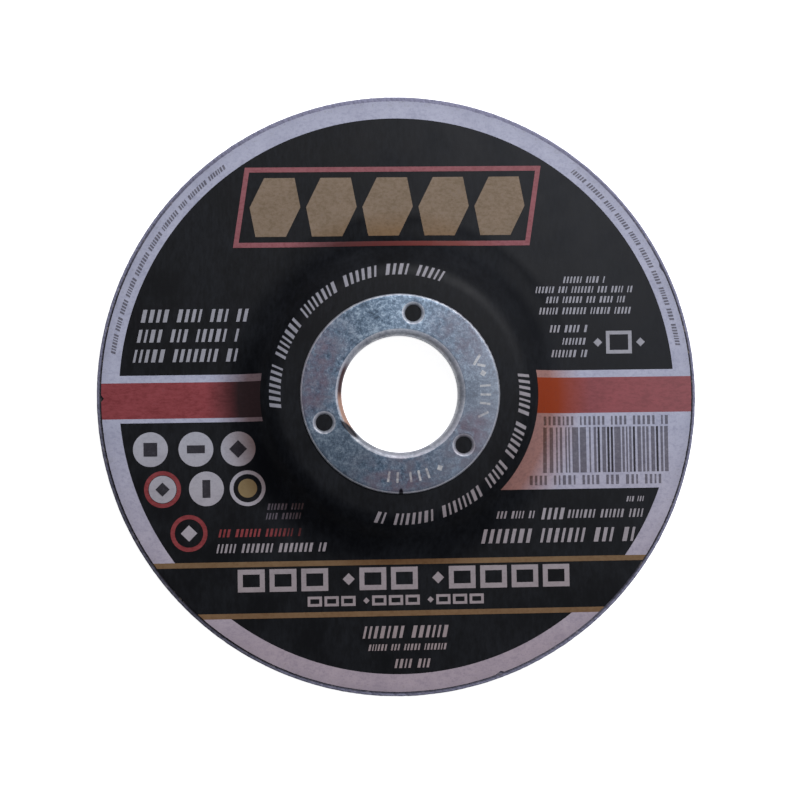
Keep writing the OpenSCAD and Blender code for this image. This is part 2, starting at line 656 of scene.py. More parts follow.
@dataclass(frozen=True)
class ZincPlatedSteel:
    """Thin electroplated zinc on pressed sheet.

    It looks satin, granular and blue-grey, and has tarnished purple in places.
    """

    name: str = "zinc_plated_steel"
    plate: str = "#5a6a7a"
    dark: str = "#36424f"
    bright: str = "#8f9eab"
    tarnish: str = "#57545e"
    bloom: str = "#5f4750"
    old_rust: str = "#4a3436"
    # Painted light, in a pale coppery tone, on the bore's left wall, which faces the lamp.
    lit_wall: str = "#b08c7a"
    # Painted shade on the bore's wall below the bend.
    wall_shade: str = "#45414c"
    pale: str = "#9da1aa"
    grime: str = "#15131a"
    grain_mm: float = 0.62
    blotch_mm: float = 2.2
    gloss: float = 0.42
    metal: float = 1.0
    # Painted light that makes the zinc paler towards the right:
    lit_from: float = 4.0
    lit_full: float = 19.0
    lit_share: float = 0.45
    tarnished: tuple[Spot, ...] = (
        Spot(-14.5, 3.9, 9.5, 4.6, 75.0, 0.9),
        Spot(1.5, -15.2, 9.5, 4.6, 0.0, 0.9),
        Spot(12.8, -9.0, 7.0, 4.6, 55.0, 0.9),
        Spot(11.5, 10.5, 6.0, 4.6, -45.0, 0.9),
    )
    bloomed: tuple[Spot, ...] = (
        Spot(-15.9, 4.0, 8.5, 2.8, 76.0),
        Spot(13.6, -7.2, 3.6, 3.0, 60.0),
        Spot(-1.0, -16.6, 6.0, 2.0, 0.0),
    )
    # Painted shade on three sides of the flange, and painted light at its top.
    side_shading: tuple[tuple[Side, str], ...] = (
        (Side(226.0, 30.0, 12.0, 0.38), "#2f3237"),
        (Side(2.0, 20.0, 6.0, 0.33), "#33363e"),
        (Side(120.0, 22.0, 6.0, 0.2), "#2f3237"),
        (Side(80.0, 20.0, 6.0, 0.12), "#a4b2c2"),
    )
    # Where the painted shade lies on the bore's wall.
    shaded_wall: Arc = Arc(0.0, 180.0, 10.0, FORM.bore_r + 0.3, 0.3, 0.0)
    old_rusted: tuple[Arc, ...] = (Arc(172.0, 14.0, 10.0, 11.75, 0.3, 10.0),)
    # Where the painted light lies on the bore's wall.
    lit_wall_arcs: tuple[Arc, ...] = (Arc(199.0, 12.0, 10.0, 11.75, 0.3, 9.0),)
    soiled: tuple[Spot, ...] = (
        Spot(-9.7, -6.8, 2.3, 0.5, -46.0),
        Spot(0.1, -18.8, 0.4, 0.9, 0.0),
    )

    def share(
        self,
        tree: bpy.types.NodeTree,
        mask: bpy.types.NodeSocket,
        pattern: bpy.types.NodeSocket,
        most: float,
    ) -> bpy.types.NodeSocket:
        """Breaks a mask up by a noise pattern.

        Args:
            tree: the material's tree.
            mask: the mask.
            pattern: the noise.
            most: the largest share.

        Returns:
            The output with the share.
        """
        broken = add_node(
            tree,
            "ShaderNodeMapRange",
            {"From Min": 0.35, "From Max": 0.62, "To Max": most},
            {"Value": pattern},
        )
        return add_node(
            tree,
            "ShaderNodeMath",
            {"operation": "MULTIPLY"},
            {0: mask, 1: broken.outputs["Result"]},
        ).outputs["Value"]

    def material(self) -> bpy.types.Material:
        """Builds the material.

        Returns:
            The material.
        """
        made, tree, place = new_material(self.name)
        coarse = add_node(
            tree,
            "ShaderNodeTexNoise",
            {"Scale": per_size(self.grain_mm * 3.0), "Detail": 3.0, "Roughness": 0.6},
            {"Vector": place},
        )
        grain = add_node(
            tree,
            "ShaderNodeTexNoise",
            {"Scale": per_size(self.grain_mm), "Detail": 3.0, "Roughness": 0.8},
            {"Vector": place},
        )
        mottle = add_node(
            tree,
            "ShaderNodeMix",
            {"data_type": "FLOAT", 0: 0.65},
            {2: coarse.outputs["Fac"], 3: grain.outputs["Fac"]},
        )
        colour = add_node(
            tree,
            "ShaderNodeValToRGB",
            {
                "stops": [
                    (0.37, srgb(self.dark)),
                    (0.5, srgb(self.plate)),
                    (0.63, srgb(self.bright)),
                ]
            },
            {"Fac": mottle.outputs[0]},
        )
        # Painted light: the zinc is paler towards the right, towards the lamp.
        axes = add_node(tree, "ShaderNodeSeparateXYZ", links={"Vector": place})
        thick = add_node(
            tree,
            "ShaderNodeMapRange",
            {
                "From Min": self.lit_from * MM,
                "From Max": self.lit_full * MM,
                "To Max": self.lit_share,
            },
            {"Value": axes.outputs["X"]},
        )
        zinc = add_node(
            tree,
            "ShaderNodeMix",
            {"data_type": "RGBA", 7: srgb(self.pale)},
            {0: thick.outputs["Result"], 6: colour.outputs["Color"]},
        )
        blotches = add_node(
            tree,
            "ShaderNodeTexNoise",
            {"Scale": per_size(self.blotch_mm), "Detail": 3.0, "Roughness": 0.7},
            {"Vector": place},
        )
        tarnished = any_spot(tree, place, self.tarnished)
        bloomed = any_spot(tree, place, self.bloomed)
        # From the first layer to the last: painted shade on three sides of the plating and painted
        # light at its top; the passivation has turned purple-grey in wide areas, with redder
        # blotches in them; painted shade on the bore's wall below the bend; rust has started in the
        # bore on the left, brown above, and below it painted light in a pale coppery tone on the
        # wall that faces the lamp; grime sits on the lip beside it.
        layers = [
            *((tone, side.mask(tree, place)) for side, tone in self.side_shading),
            (self.tarnish, self.share(tree, tarnished, coarse.outputs["Fac"], 0.8)),
            (self.bloom, self.share(tree, bloomed, blotches.outputs["Fac"], 0.45)),
            (self.wall_shade, self.shaded_wall.mask(tree, place)),
            (self.old_rust, any_spot(tree, place, self.old_rusted)),
            (self.lit_wall, any_spot(tree, place, self.lit_wall_arcs)),
            (self.grime, any_spot(tree, place, self.soiled)),
        ]
        surface = zinc.outputs[2]
        for tone, mask in layers:
            surface = add_node(
                tree,
                "ShaderNodeMix",
                {"data_type": "RGBA", 7: srgb(tone)},
                {0: mask, 6: surface},
            ).outputs[2]
        rough = add_node(
            tree,
            "ShaderNodeMapRange",
            {
                "From Min": 0.35,
                "From Max": 0.65,
                "To Min": self.gloss + 0.1,
                "To Max": self.gloss - 0.08,
            },
            {"Value": mottle.outputs[0]},
        )
        bump = add_node(
            tree,
            "ShaderNodeBump",
            {"Strength": 0.4, "Distance": 0.05 * MM},
            {"Height": grain.outputs["Fac"]},
        )
        close_material(
            tree,
            {"Metallic": self.metal},
            {
                "Base Color": surface,
                "Roughness": rough.outputs["Result"],
                "Normal": bump.outputs["Normal"],
            },
        )
        return made


# Painted light: a paler, less metallic copy of the zinc on the rounded edge and the lips, for the
# light that they catch.
LIT_LIP_ZINC = ZincPlatedSteel(
    name="lit_lip_zinc",
    plate="#9ea2aa",
    dark="#82868f",
    bright="#bcbfc4",
    tarnish="#8f8b93",
    gloss=0.5,
    metal=0.4,
)
# Painted glint: a pale zinc for the struck marks, for the light that their edges catch.
GLINT_ZINC = ZincPlatedSteel(
    name="glint_zinc", plate="#bcbdbb", dark="#9a9c9e", bright="#dcdcd8", gloss=0.5, metal=0.5
)


@dataclass(frozen=True)
class PrintedPaper:
    """Black-printed blotter paper, baked onto the grit.

    It looks black with a soft sheen, over a slightly pitted, fibrous skin.
    """

    black: str = "#050609"
    worn: str = "#15171b"
    # Colour of the painted sheen towards the upper right.
    painted_sheen: str = "#232529"
    fibre_mm: float = 0.7
    fibre_length_mm: float = 2.2
    patch_mm: float = 9.0
    # Where the painted sheen lies:
    sheen_way: tuple[float, float, float] = (0.86, 0.5, 0.0)
    sheen_from: float = 14.0
    sheen_full: float = 46.0
    sheen_share: float = 0.5
    sheen: float = 0.12
    dull_sheen: float = 0.05
    dulled: Arc = Arc(75.0, 35.0, 29.2, 33.8, 1.6, 30.0)

    def material(self) -> bpy.types.Material:
        """Builds the material.

        Returns:
            The material.
        """
        made, tree, place = new_material("printed_black_paper")
        # The paper's fibres run up the sheet.
        along = add_node(
            tree,
            "ShaderNodeMapping",
            {"Scale": (1.0, self.fibre_mm / self.fibre_length_mm, 1.0)},
            {"Vector": place},
        )
        fibre = add_node(
            tree,
            "ShaderNodeTexNoise",
            {"Scale": per_size(self.fibre_mm), "Detail": 4.0, "Roughness": 0.7},
            {"Vector": along.outputs["Vector"]},
        )
        patches = add_node(
            tree,
            "ShaderNodeTexNoise",
            {"Scale": per_size(self.patch_mm), "Detail": 5.0, "Roughness": 0.6},
            {"Vector": place},
        )
        both = add_node(
            tree,
            "ShaderNodeMath",
            {"operation": "MULTIPLY"},
            {0: fibre.outputs["Fac"], 1: patches.outputs["Fac"]},
        )
        colour = add_node(
            tree,
            "ShaderNodeValToRGB",
            {"stops": [(0.18, srgb(self.black)), (0.4, srgb(self.worn))]},
            {"Fac": both.outputs["Value"]},
        )
        # Painted sheen: the black is lighter towards the upper right.
        towards = add_node(
            tree,
            "ShaderNodeVectorMath",
            {"operation": "DOT_PRODUCT", 1: self.sheen_way},
            {0: place},
        )
        share = add_node(
            tree,
            "ShaderNodeMapRange",
            {
                "From Min": self.sheen_from * MM,
                "From Max": self.sheen_full * MM,
                "To Max": self.sheen_share,
            },
            {"Value": towards.outputs["Value"]},
        )
        painted_sheen = add_node(
            tree,
            "ShaderNodeMix",
            {"data_type": "RGBA", 7: srgb(self.painted_sheen)},
            {0: share.outputs["Result"], 6: colour.outputs["Color"]},
        )
        rough = add_node(
            tree,
            "ShaderNodeMapRange",
            {"From Min": 0.3, "From Max": 0.7, "To Min": 0.42, "To Max": 0.58},
            {"Value": patches.outputs["Fac"]},
        )
        bump = add_node(
            tree,
            "ShaderNodeBump",
            {"Strength": 0.3, "Distance": 0.05 * MM},
            {"Height": fibre.outputs["Fac"]},
        )
        # The paper in the fold at the hub's foot has lost its sheen.
        sheen = add_node(
            tree,
            "ShaderNodeMapRange",
            {"To Min": self.sheen, "To Max": self.dull_sheen},
            {"Value": self.dulled.mask(tree, place)},
        )
        close_material(
            tree,
            {},
            {
                "Specular IOR Level": sheen.outputs["Result"],
                "Base Color": painted_sheen.outputs[2],
                "Roughness": rough.outputs["Result"],
                "Normal": bump.outputs["Normal"],
            },
        )
        return made


@dataclass(frozen=True)
class PrintInk:
    """Ink printed on the paper: an even film with pinholes.

    It looks streaky, is worn to a granular edge, and has painted shade and light where it bends up
    to the hub.
    """

    name: str
    colour: str
    second: str
    pinhole: str = "#2b2a2f"
    pinholes: float = 0.25
    streak_h: float = 0.5
    streak_w: float = 0.65
    edge_wear: float = 0.0
    # Painted shade on the left and painted light on the right where the ink bends up to the hub:
    foot_shade: str = "#a8887c"
    foot_lit: str = "#f0b08c"
    foot_from: float = 1.5
    foot_full: float = 5.0
    covering: bool = False
    foot_most: float = 0.95
    foot_half_w: float = 20.0
    faded: str = "#a58a8e"
    fading: float = 0.0
    fade_from: float = 5.0
    aged: str = "#fbe4da"
    aged_from: float = -5.0
    aged_full: float = -48.0
    rubbed_w: float = 1.6
    patch_mm: float = 5.0
    specular: float = 0.15

    def foot_light_and_shade(
        self, tree: bpy.types.NodeTree, place: bpy.types.NodeSocket, radius: bpy.types.NodeSocket
    ) -> tuple[bpy.types.NodeSocket, bpy.types.NodeSocket]:
        """Painted shade and light where the paper bends up to the hub: dark on the left of the
        slope, which turns away from the lamp, and warm and light on the right, which faces it.

        Args:
            tree: the material's tree.
            place: the Object coordinates.
            radius: the distance from the bore's axis.

        Returns:
            The outputs with the share of the painted shade and light, and its colour, which is dark
            on the left and warm on the right.
        """
        near_hub = add_node(
            tree,
            "ShaderNodeMapRange",
            {
                "From Min": (FORM.foot_r + self.foot_from) * MM,
                "From Max": (FORM.foot_r - self.foot_full) * MM,
                "To Max": self.foot_most,
            },
            {"Value": radius},
        )
        axes = add_node(tree, "ShaderNodeSeparateXYZ", links={"Vector": place})
        side = add_node(
            tree,
            "ShaderNodeMapRange",
            {"From Min": -self.foot_half_w * MM, "From Max": self.foot_half_w * MM},
            {"Value": axes.outputs["X"]},
        )
        foot_tone = add_node(
            tree,
            "ShaderNodeMix",
            {"data_type": "RGBA", 6: srgb(self.foot_shade), 7: srgb(self.foot_lit)},
            {0: side.outputs["Result"]},
        )
        return near_hub.outputs["Result"], foot_tone.outputs[2]

    def material(self) -> bpy.types.Material:
        """Builds the material.

        Returns:
            The material.
        """
        made, tree, place = new_material(self.name)
        radius = from_axis(tree, place)[0]
        patches = add_node(
            tree,
            "ShaderNodeTexNoise",
            {"Scale": per_size(self.patch_mm), "Detail": 6.0, "Roughness": 0.65},
            {"Vector": place},
        )
        # The film was rolled on from left to right, and its streaks lie that way.
        along = add_node(
            tree,
            "ShaderNodeMapping",
            {"Scale": (self.streak_h / self.streak_w, 1.0, 1.0)},
            {"Vector": place},
        )
        grain = add_node(
            tree,
            "ShaderNodeTexNoise",
            {"Scale": per_size(self.streak_h), "Detail": 3.0, "Roughness": 0.7},
            {"Vector": along.outputs["Vector"]},
        )
        lay = add_node(
            tree,
            "ShaderNodeMix",
            {"data_type": "FLOAT", 0: 0.65},
            {2: patches.outputs["Fac"], 3: grain.outputs["Fac"]},
        )
        film = add_node(
            tree,
            "ShaderNodeValToRGB",
            {"stops": [(0.38, srgb(self.colour)), (0.62, srgb(self.second))]},
            {"Fac": lay.outputs[0]},
        )
        # The lower half has yellowed a little.
        axes = add_node(tree, "ShaderNodeSeparateXYZ", links={"Vector": place})
        low = add_node(
            tree,
            "ShaderNodeMapRange",
            {"From Min": self.aged_from * MM, "From Max": self.aged_full * MM},
            {"Value": axes.outputs["Y"]},
        )
        yellowed = add_node(
            tree,
            "ShaderNodeMix",
            {"data_type": "RGBA", "blend_type": "MULTIPLY", 7: srgb(self.aged)},
            {0: low.outputs["Result"], 6: film.outputs["Color"]},
        )
        # The right side has faded.
        right = add_node(
            tree,
            "ShaderNodeMapRange",
            {
                "From Min": self.fade_from * MM,
                "From Max": FORM.label_r * MM,
                "To Max": self.fading,
            },
            {"Value": axes.outputs["X"]},
        )
        faded = add_node(
            tree,
            "ShaderNodeMix",
            {"data_type": "RGBA", 7: srgb(self.faded)},
            {0: right.outputs["Result"], 6: yellowed.outputs[2]},
        )
        # Painted shade on the left of the hub's slope, and painted light on its right.
        near_hub, foot_tone = self.foot_light_and_shade(tree, place, radius)
        foot_painted = add_node(
            tree,
            "ShaderNodeMix",
            {"data_type": "RGBA", "blend_type": "MIX" if self.covering else "MULTIPLY"},
            {0: near_hub, 6: faded.outputs[2], 7: foot_tone},
        )
        # The outer edge is rubbed until the grain under the paper shows.
        rubbed = add_node(
            tree,
            "ShaderNodeMapRange",
            {
                "From Min": (FORM.label_r - self.rubbed_w) * MM,
                "From Max": FORM.label_r * MM,
                "To Max": self.edge_wear,
            },
            {"Value": radius},
        )
        share = add_node(
            tree,
            "ShaderNodeMath",
            {"operation": "ADD"},
            {0: grain.outputs["Fac"], 1: rubbed.outputs["Result"]},
        )
        holes = add_node(
            tree,
            "ShaderNodeMapRange",
            {"From Min": 0.58, "From Max": 0.76, "To Max": self.pinholes},
            {"Value": share.outputs["Value"]},
        )
        colour = add_node(
            tree,
            "ShaderNodeMix",
            {"data_type": "RGBA", 7: srgb(self.pinhole)},
            {0: holes.outputs["Result"], 6: foot_painted.outputs[2]},
        )
        bump = add_node(
            tree,
            "ShaderNodeBump",
            {"Strength": 0.3, "Distance": 0.05 * MM},
            {"Height": grain.outputs["Fac"]},
        )
        rough = add_node(
            tree,
            "ShaderNodeMapRange",
            {"From Min": 0.3, "From Max": 0.7, "To Min": 0.42, "To Max": 0.58},
            {"Value": patches.outputs["Fac"]},
        )
        close_material(
            tree,
            {"Specular IOR Level": self.specular},
            {
                "Base Color": colour.outputs[2],
                "Roughness": rough.outputs["Result"],
                "Normal": bump.outputs["Normal"],
            },
        )
        return made


@dataclass(frozen=True)
class GlassRoving:
    """Twisted glass fibre in baked phenolic.

    It looks straw-coloured, with a fine lay and dark resin between the fibres.
    """

    fibre: str = "#a8986a"
    resin: str = "#5a4a2c"
    strand_mm: float = 0.35
    soak_mm: float = 7.0

    def material(self) -> bpy.types.Material:
        """Builds the material.

        Returns:
            The material.
        """
        made, tree, place = new_material("glass_roving")
        lay = add_node(
            tree,
            "ShaderNodeTexNoise",
            {"Scale": per_size(self.strand_mm), "Detail": 3.0, "Distortion": 0.4},
            {"Vector": place},
        )
        soak = add_node(
            tree,
            "ShaderNodeTexNoise",
            {"Scale": per_size(self.soak_mm), "Detail": 4.0},
            {"Vector": place},
        )
        both = add_node(
            tree,
            "ShaderNodeMath",
            {"operation": "MULTIPLY_ADD", 1: 0.5, 2: 0.0},
            {0: lay.outputs["Fac"], 2: soak.outputs["Fac"]},
        )
        colour = add_node(
            tree,
            "ShaderNodeValToRGB",
            {"stops": [(0.6, srgb(self.resin)), (0.85, srgb(self.fibre))]},
            {"Fac": both.outputs["Value"]},
        )
        bump = add_node(
            tree,
            "ShaderNodeBump",
            {"Strength": 0.5, "Distance": 0.08 * MM},
            {"Height": lay.outputs["Fac"]},
        )
        close_material(
            tree,
            {"Roughness": 0.55, "Specular IOR Level": 0.45},
            {"Base Color": colour.outputs["Color"], "Normal": bump.outputs["Normal"]},
        )
        return made


@dataclass(frozen=True)
class StudioPaper:
    """Seamless white studio paper: matt, with a faint tooth, and white in the picture."""

    sheet: str = "#ececec"
    shade: str = "#e8e8e8"
    tooth_mm: float = 3.0
    glow: float = 0.93

    def material(self) -> bpy.types.Material:
        """Builds the material, which is clear from below so that the underside can be seen.

        Returns:
            The material.
        """
        made, tree, place = new_material("studio_paper")
        tooth = add_node(
            tree,
            "ShaderNodeTexNoise",
            {"Scale": per_size(self.tooth_mm), "Detail": 3.0},
            {"Vector": place},
        )
        colour = add_node(
            tree,
            "ShaderNodeValToRGB",
            {"stops": [(0.3, srgb(self.shade)), (0.7, srgb(self.sheet))]},
            {"Fac": tooth.outputs["Fac"]},
        )
        paper = add_node(
            tree,
            "ShaderNodeBsdfDiffuse",
            links={"Color": colour.outputs["Color"]},
        )
        rays = add_node(tree, "ShaderNodeLightPath")
        seen = add_node(
            tree,
            "ShaderNodeMath",
            {"operation": "MAXIMUM"},
            {0: rays.outputs["Is Camera Ray"], 1: rays.outputs["Is Glossy Ray"]},
        )
        seen_all = add_node(
            tree,
            "ShaderNodeMath",
            {"operation": "MAXIMUM"},
            {0: seen.outputs["Value"], 1: rays.outputs["Is Transmission Ray"]},
        )
        level = add_node(
            tree,
            "ShaderNodeMath",
            {"operation": "MULTIPLY", 1: self.glow},
            {0: seen_all.outputs["Value"]},
        )
        glow = add_node(
            tree,
            "ShaderNodeEmission",
            links={"Strength": level.outputs["Value"]},
        )
        lit = add_node(
            tree,
            "ShaderNodeAddShader",
            links={0: paper.outputs["BSDF"], 1: glow.outputs["Emission"]},
        )
        side = add_node(tree, "ShaderNodeNewGeometry")
        clear = add_node(tree, "ShaderNodeBsdfTransparent")
        both = add_node(
            tree,
            "ShaderNodeMixShader",
            links={
                "Fac": side.outputs["Backfacing"],
                1: lit.outputs["Shader"],
                2: clear.outputs["BSDF"],
            },
        )
        add_node(tree, "ShaderNodeOutputMaterial", links={"Surface": both.outputs["Shader"]})
        return made


# The foot colours of each ink paint shade on the left of the hub's slope and light on its right.
INKS: dict[Ink, PrintInk] = {
    Ink.SILVER: PrintInk(
        "silver_ink", "#9294a6", "#acaebe", pinholes=0.35, edge_wear=0.12, foot_lit="#e2a488"
    ),
    Ink.RED: PrintInk(
        "red_ink",
        "#6e2b2e",
        "#883e42",
        streak_w=1.1,
        foot_shade="#1c191a",
        foot_lit="#80300f",
        foot_from=3.0,
        foot_full=3.4,
        covering=True,
        fading=0.16,
    ),
    Ink.ROSE: PrintInk(
        "thin_red_ink",
        "#784247",
        "#8c565b",
        foot_shade="#2c1418",
        foot_lit="#6e281c",
        foot_from=1.5,
        foot_full=3.0,
        covering=True,
    ),
    Ink.GOLD: PrintInk(
        "gold_ink",
        "#695945",
        "#81705f",
        pinholes=0.35,
        foot_shade="#dcc8a4",
        foot_lit="#e0c89c",
        foot_from=1.8,
        foot_full=2.5,
    ),
    Ink.OCHRE: PrintInk(
        "ochre_ink", "#67543b", "#77654a", foot_shade="#b09078", foot_lit="#c89c70"
    ),
    Ink.GREY: PrintInk(
        "grey_ink", "#88888e", "#98989f", foot_shade="#f4f4f6", foot_lit="#f4ece8"
    ),
    Ink.WHITE: PrintInk("white_ink", "#92939b", "#a4a5ad", pinholes=0.35),
    Ink.BLACK: PrintInk("black_ink", "#25242a", "#313037", pinhole="#55545c", pinholes=0.3),
    Ink.FAINT: PrintInk("faint_black_ink", "#565560", "#66656f", pinhole="#85858f", pinholes=0.5),
    Ink.OLIVE: PrintInk("olive_ink", "#77694a", "#7f7150", pinholes=0.3),
}


def place_piece(
    bm: bmesh.types.BMesh,
    name: str,
    finishes: Iterable[bpy.types.Material],
    nodes: Iterable[str] = (),
    sharp: float = 35.0,
) -> None:
    """Makes a finished piece of a mesh that is in millimetres.

    Args:
        bm: the mesh, which is freed.
        name: the piece's name.
        finishes: its finish for each material index.
        nodes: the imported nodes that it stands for.
        sharp: edges that turn by more degrees than this stay sharp.
    """
    bmesh.ops.remove_doubles(bm, verts=bm.verts, dist=MERGE_GAP)
    bmesh.ops.recalc_face_normals(bm, faces=bm.faces)
    bmesh.ops.scale(bm, vec=(MM, MM, MM), verts=bm.verts)
    for face in bm.faces:
        face.smooth = True
    limit = math.radians(sharp)
    for edge in bm.edges:
        edge.smooth = edge.is_manifold and edge.calc_face_angle(0.0) < limit
    mesh = bpy.data.meshes.new(name)
    bm.to_mesh(mesh)
    bm.free()
    for finish in finishes:
        mesh.materials.append(finish)
    piece = bpy.data.objects.new(name, mesh)
    bpy.context.scene.collection.objects.link(piece)
    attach(piece, "root")
    if nodes:
        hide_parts(*nodes)
    LOG.info("%s: %d faces", name, len(mesh.polygons))


def chain(bm: bmesh.types.BMesh, points: list[tuple[float, float]], closed: bool) -> list:
    """Lays a section in the XZ plane as vertices joined by edges.

    Args:
        bm: the mesh.
        points: radius and height of each point.
        closed: whether the last point joins the first.

    Returns:
        The vertices and edges.
    """
    verts = [bm.verts.new((r, 0.0, z)) for r, z in points]
    pairs = list(zip(verts, verts[1:]))
    if closed:
        pairs.append((verts[-1], verts[0]))
    return [*verts, *(bm.edges.new(pair) for pair in pairs)]


def spin_section(points: list[tuple[float, float]], turns: int, closed: bool) -> bmesh.types.BMesh:
    """Turns a section once round the bore's axis.

    Args:
        points: radius and height of each point of the section.
        turns: number of steps of the turn.
        closed: whether the section is a closed loop.

    Returns:
        The mesh.
    """
    bm = bmesh.new()
    section = chain(bm, points, closed)
    bmesh.ops.spin(
        bm,
        geom=section,
        cent=(0, 0, 0),
        axis=(0, 0, 1),
        angle=2 * math.pi,
        steps=turns,
        use_merge=True,
        use_duplicate=False,
    )
    bmesh.ops.remove_doubles(bm, verts=bm.verts, dist=MERGE_GAP)
    return bm


def angle_gap(a: float, b: float) -> float:
    """Smallest difference of two angles in degrees."""
    return abs((a - b + 180) % 360 - 180)


def worn_edge(angle: float) -> float:
    """How far the label's edge stands back at an angle, for its chips and nicks.

    Args:
        angle: the angle in degrees.

    Returns:
        The distance in millimetres.
    """
    a = math.radians(angle)
    spot = Vector((math.cos(a), math.sin(a), 0.0))
    back = sum(depth * max(0.0, noise.noise(spot * count)) for depth, count in PLAN.chips)
    for place, depth, half_width in PLAN.nicks:
        across = angle_gap(angle, place) / math.degrees(half_width / FORM.label_r)
        back = max(back, depth * (1.0 - across))
    return back


def wear_edge(bm: bmesh.types.BMesh) -> None:
    """Draws the outermost ring of a layer back to the label's worn edge.

    Args:
        bm: the flat layer.
    """
    near = 0.02
    for vert in bm.verts:
        r = vert.co.xy.length
        if r > FORM.label_r - near:
            back = worn_edge(math.degrees(math.atan2(vert.co.y, vert.co.x)))
            vert.co.xy *= (FORM.label_r - back) / r


def drape(bm: bmesh.types.BMesh, lift: float = 0.0) -> None:
    """Lays a flat mesh on the label's face.

    Args:
        bm: the mesh.
        lift: how far above the face it lies.
    """
    for vert in bm.verts:
        vert.co.z = FORM.face_z(vert.co.xy.length) + lift


def thicken(bm: bmesh.types.BMesh, thickness: float) -> None:
    """Gives a draped sheet its thickness upwards, as a closed shell.

    Args:
        bm: the sheet.
        thickness: its thickness.
    """
    made = bmesh.ops.extrude_face_region(bm, geom=list(bm.faces), use_keep_orig=True)
    raised = [v for v in made["geom"] if isinstance(v, bmesh.types.BMVert)]
    bmesh.ops.translate(bm, vec=(0, 0, thickness), verts=raised)


def turn_print(bm: bmesh.types.BMesh) -> None:
    """Turns the print by the small angle that the label was pressed on at.

    Args:
        bm: the print.
    """
    bmesh.ops.rotate(
        bm, cent=(0, 0, 0), matrix=Matrix.Rotation(PLAN.turn, 3, "Z"), verts=bm.verts
    )


def add_block(
    bm: bmesh.types.BMesh,
    x: float,
    y: float,
    width: float,
    height: float,
    turn: float = 0.0,
    slant: float = 0.0,
    cells: int = 1,
) -> None:
    """Adds a flat block of ink to a mesh.

    Args:
        bm: the mesh.
        x: middle of the block.
        y: middle of the block.
        width: its width.
        height: its height.
        turn: the angle it is turned by, in radians.
        slant: how far its top leans to the right, as a share of its height.
        cells: number of faces along each side.
    """
    lean = Matrix(((1, slant, 0, 0), (0, 1, 0, 0), (0, 0, 1, 0), (0, 0, 0, 1)))
    size = Matrix.Diagonal((width, height, 1.0, 1.0))
    place = Matrix.Translation((x, y, 0.0)) @ Matrix.Rotation(turn, 4, "Z")
    bmesh.ops.create_grid(
        bm, x_segments=cells, y_segments=cells, size=0.5, matrix=place @ lean @ size
    )


def extrude_rings(
    bm: bmesh.types.BMesh,
    edges: list[bmesh.types.BMEdge],
    centre: tuple[float, float],
    rings: list[tuple[float, float]],
    wobble: Optional[Callable[[float], float]] = None,
    index: int = 1,
) -> list[bmesh.types.BMEdge]:
    """Extrudes a round loop of edges through a row of rings.

    Args:
        bm: the mesh.
        edges: the loop to start from.
        centre: X and Y of the rings' axis.
        rings: radius and height of each ring.
        wobble: how much longer the radius is at an angle.
        index: material index of the new faces.

    Returns:
        The edges of the last ring.
    """
    middle = Vector((centre[0], centre[1], 0.0))
    for r, z in rings:
        made = bmesh.ops.extrude_edge_only(bm, edges=edges)["geom"]
        fresh = {g for g in made if isinstance(g, bmesh.types.BMVert)}
        for g in made:
            if isinstance(g, bmesh.types.BMFace):
                g.material_index = index
        edges = [
            g
            for g in made
            if isinstance(g, bmesh.types.BMEdge) and g.verts[0] in fresh and g.verts[1] in fresh
        ]
        for vert in fresh:
            out = (vert.co - middle).xy.normalized()
            reach = r + (wobble(math.atan2(out.y, out.x)) if wobble else 0.0)
            vert.co = Vector((middle.x + out.x * reach, middle.y + out.y * reach, z))
    return edges


def ring_edges(
    bm: bmesh.types.BMesh, centre: tuple[float, float], radius: float, z: float, steps: int
) -> list[bmesh.types.BMEdge]:
    """Adds a circle of edges.

    Args:
        bm: the mesh.
        centre: its middle.
        radius: its radius.
        z: its height.
        steps: number of its edges.

    Returns:
        The edges.
    """
    made = bmesh.ops.create_circle(
        bm,
        cap_ends=False,
        radius=radius,
        segments=steps,
        matrix=Matrix.Translation((centre[0], centre[1], z)),
    )
    return list({edge for vert in made["verts"] for edge in vert.link_edges})


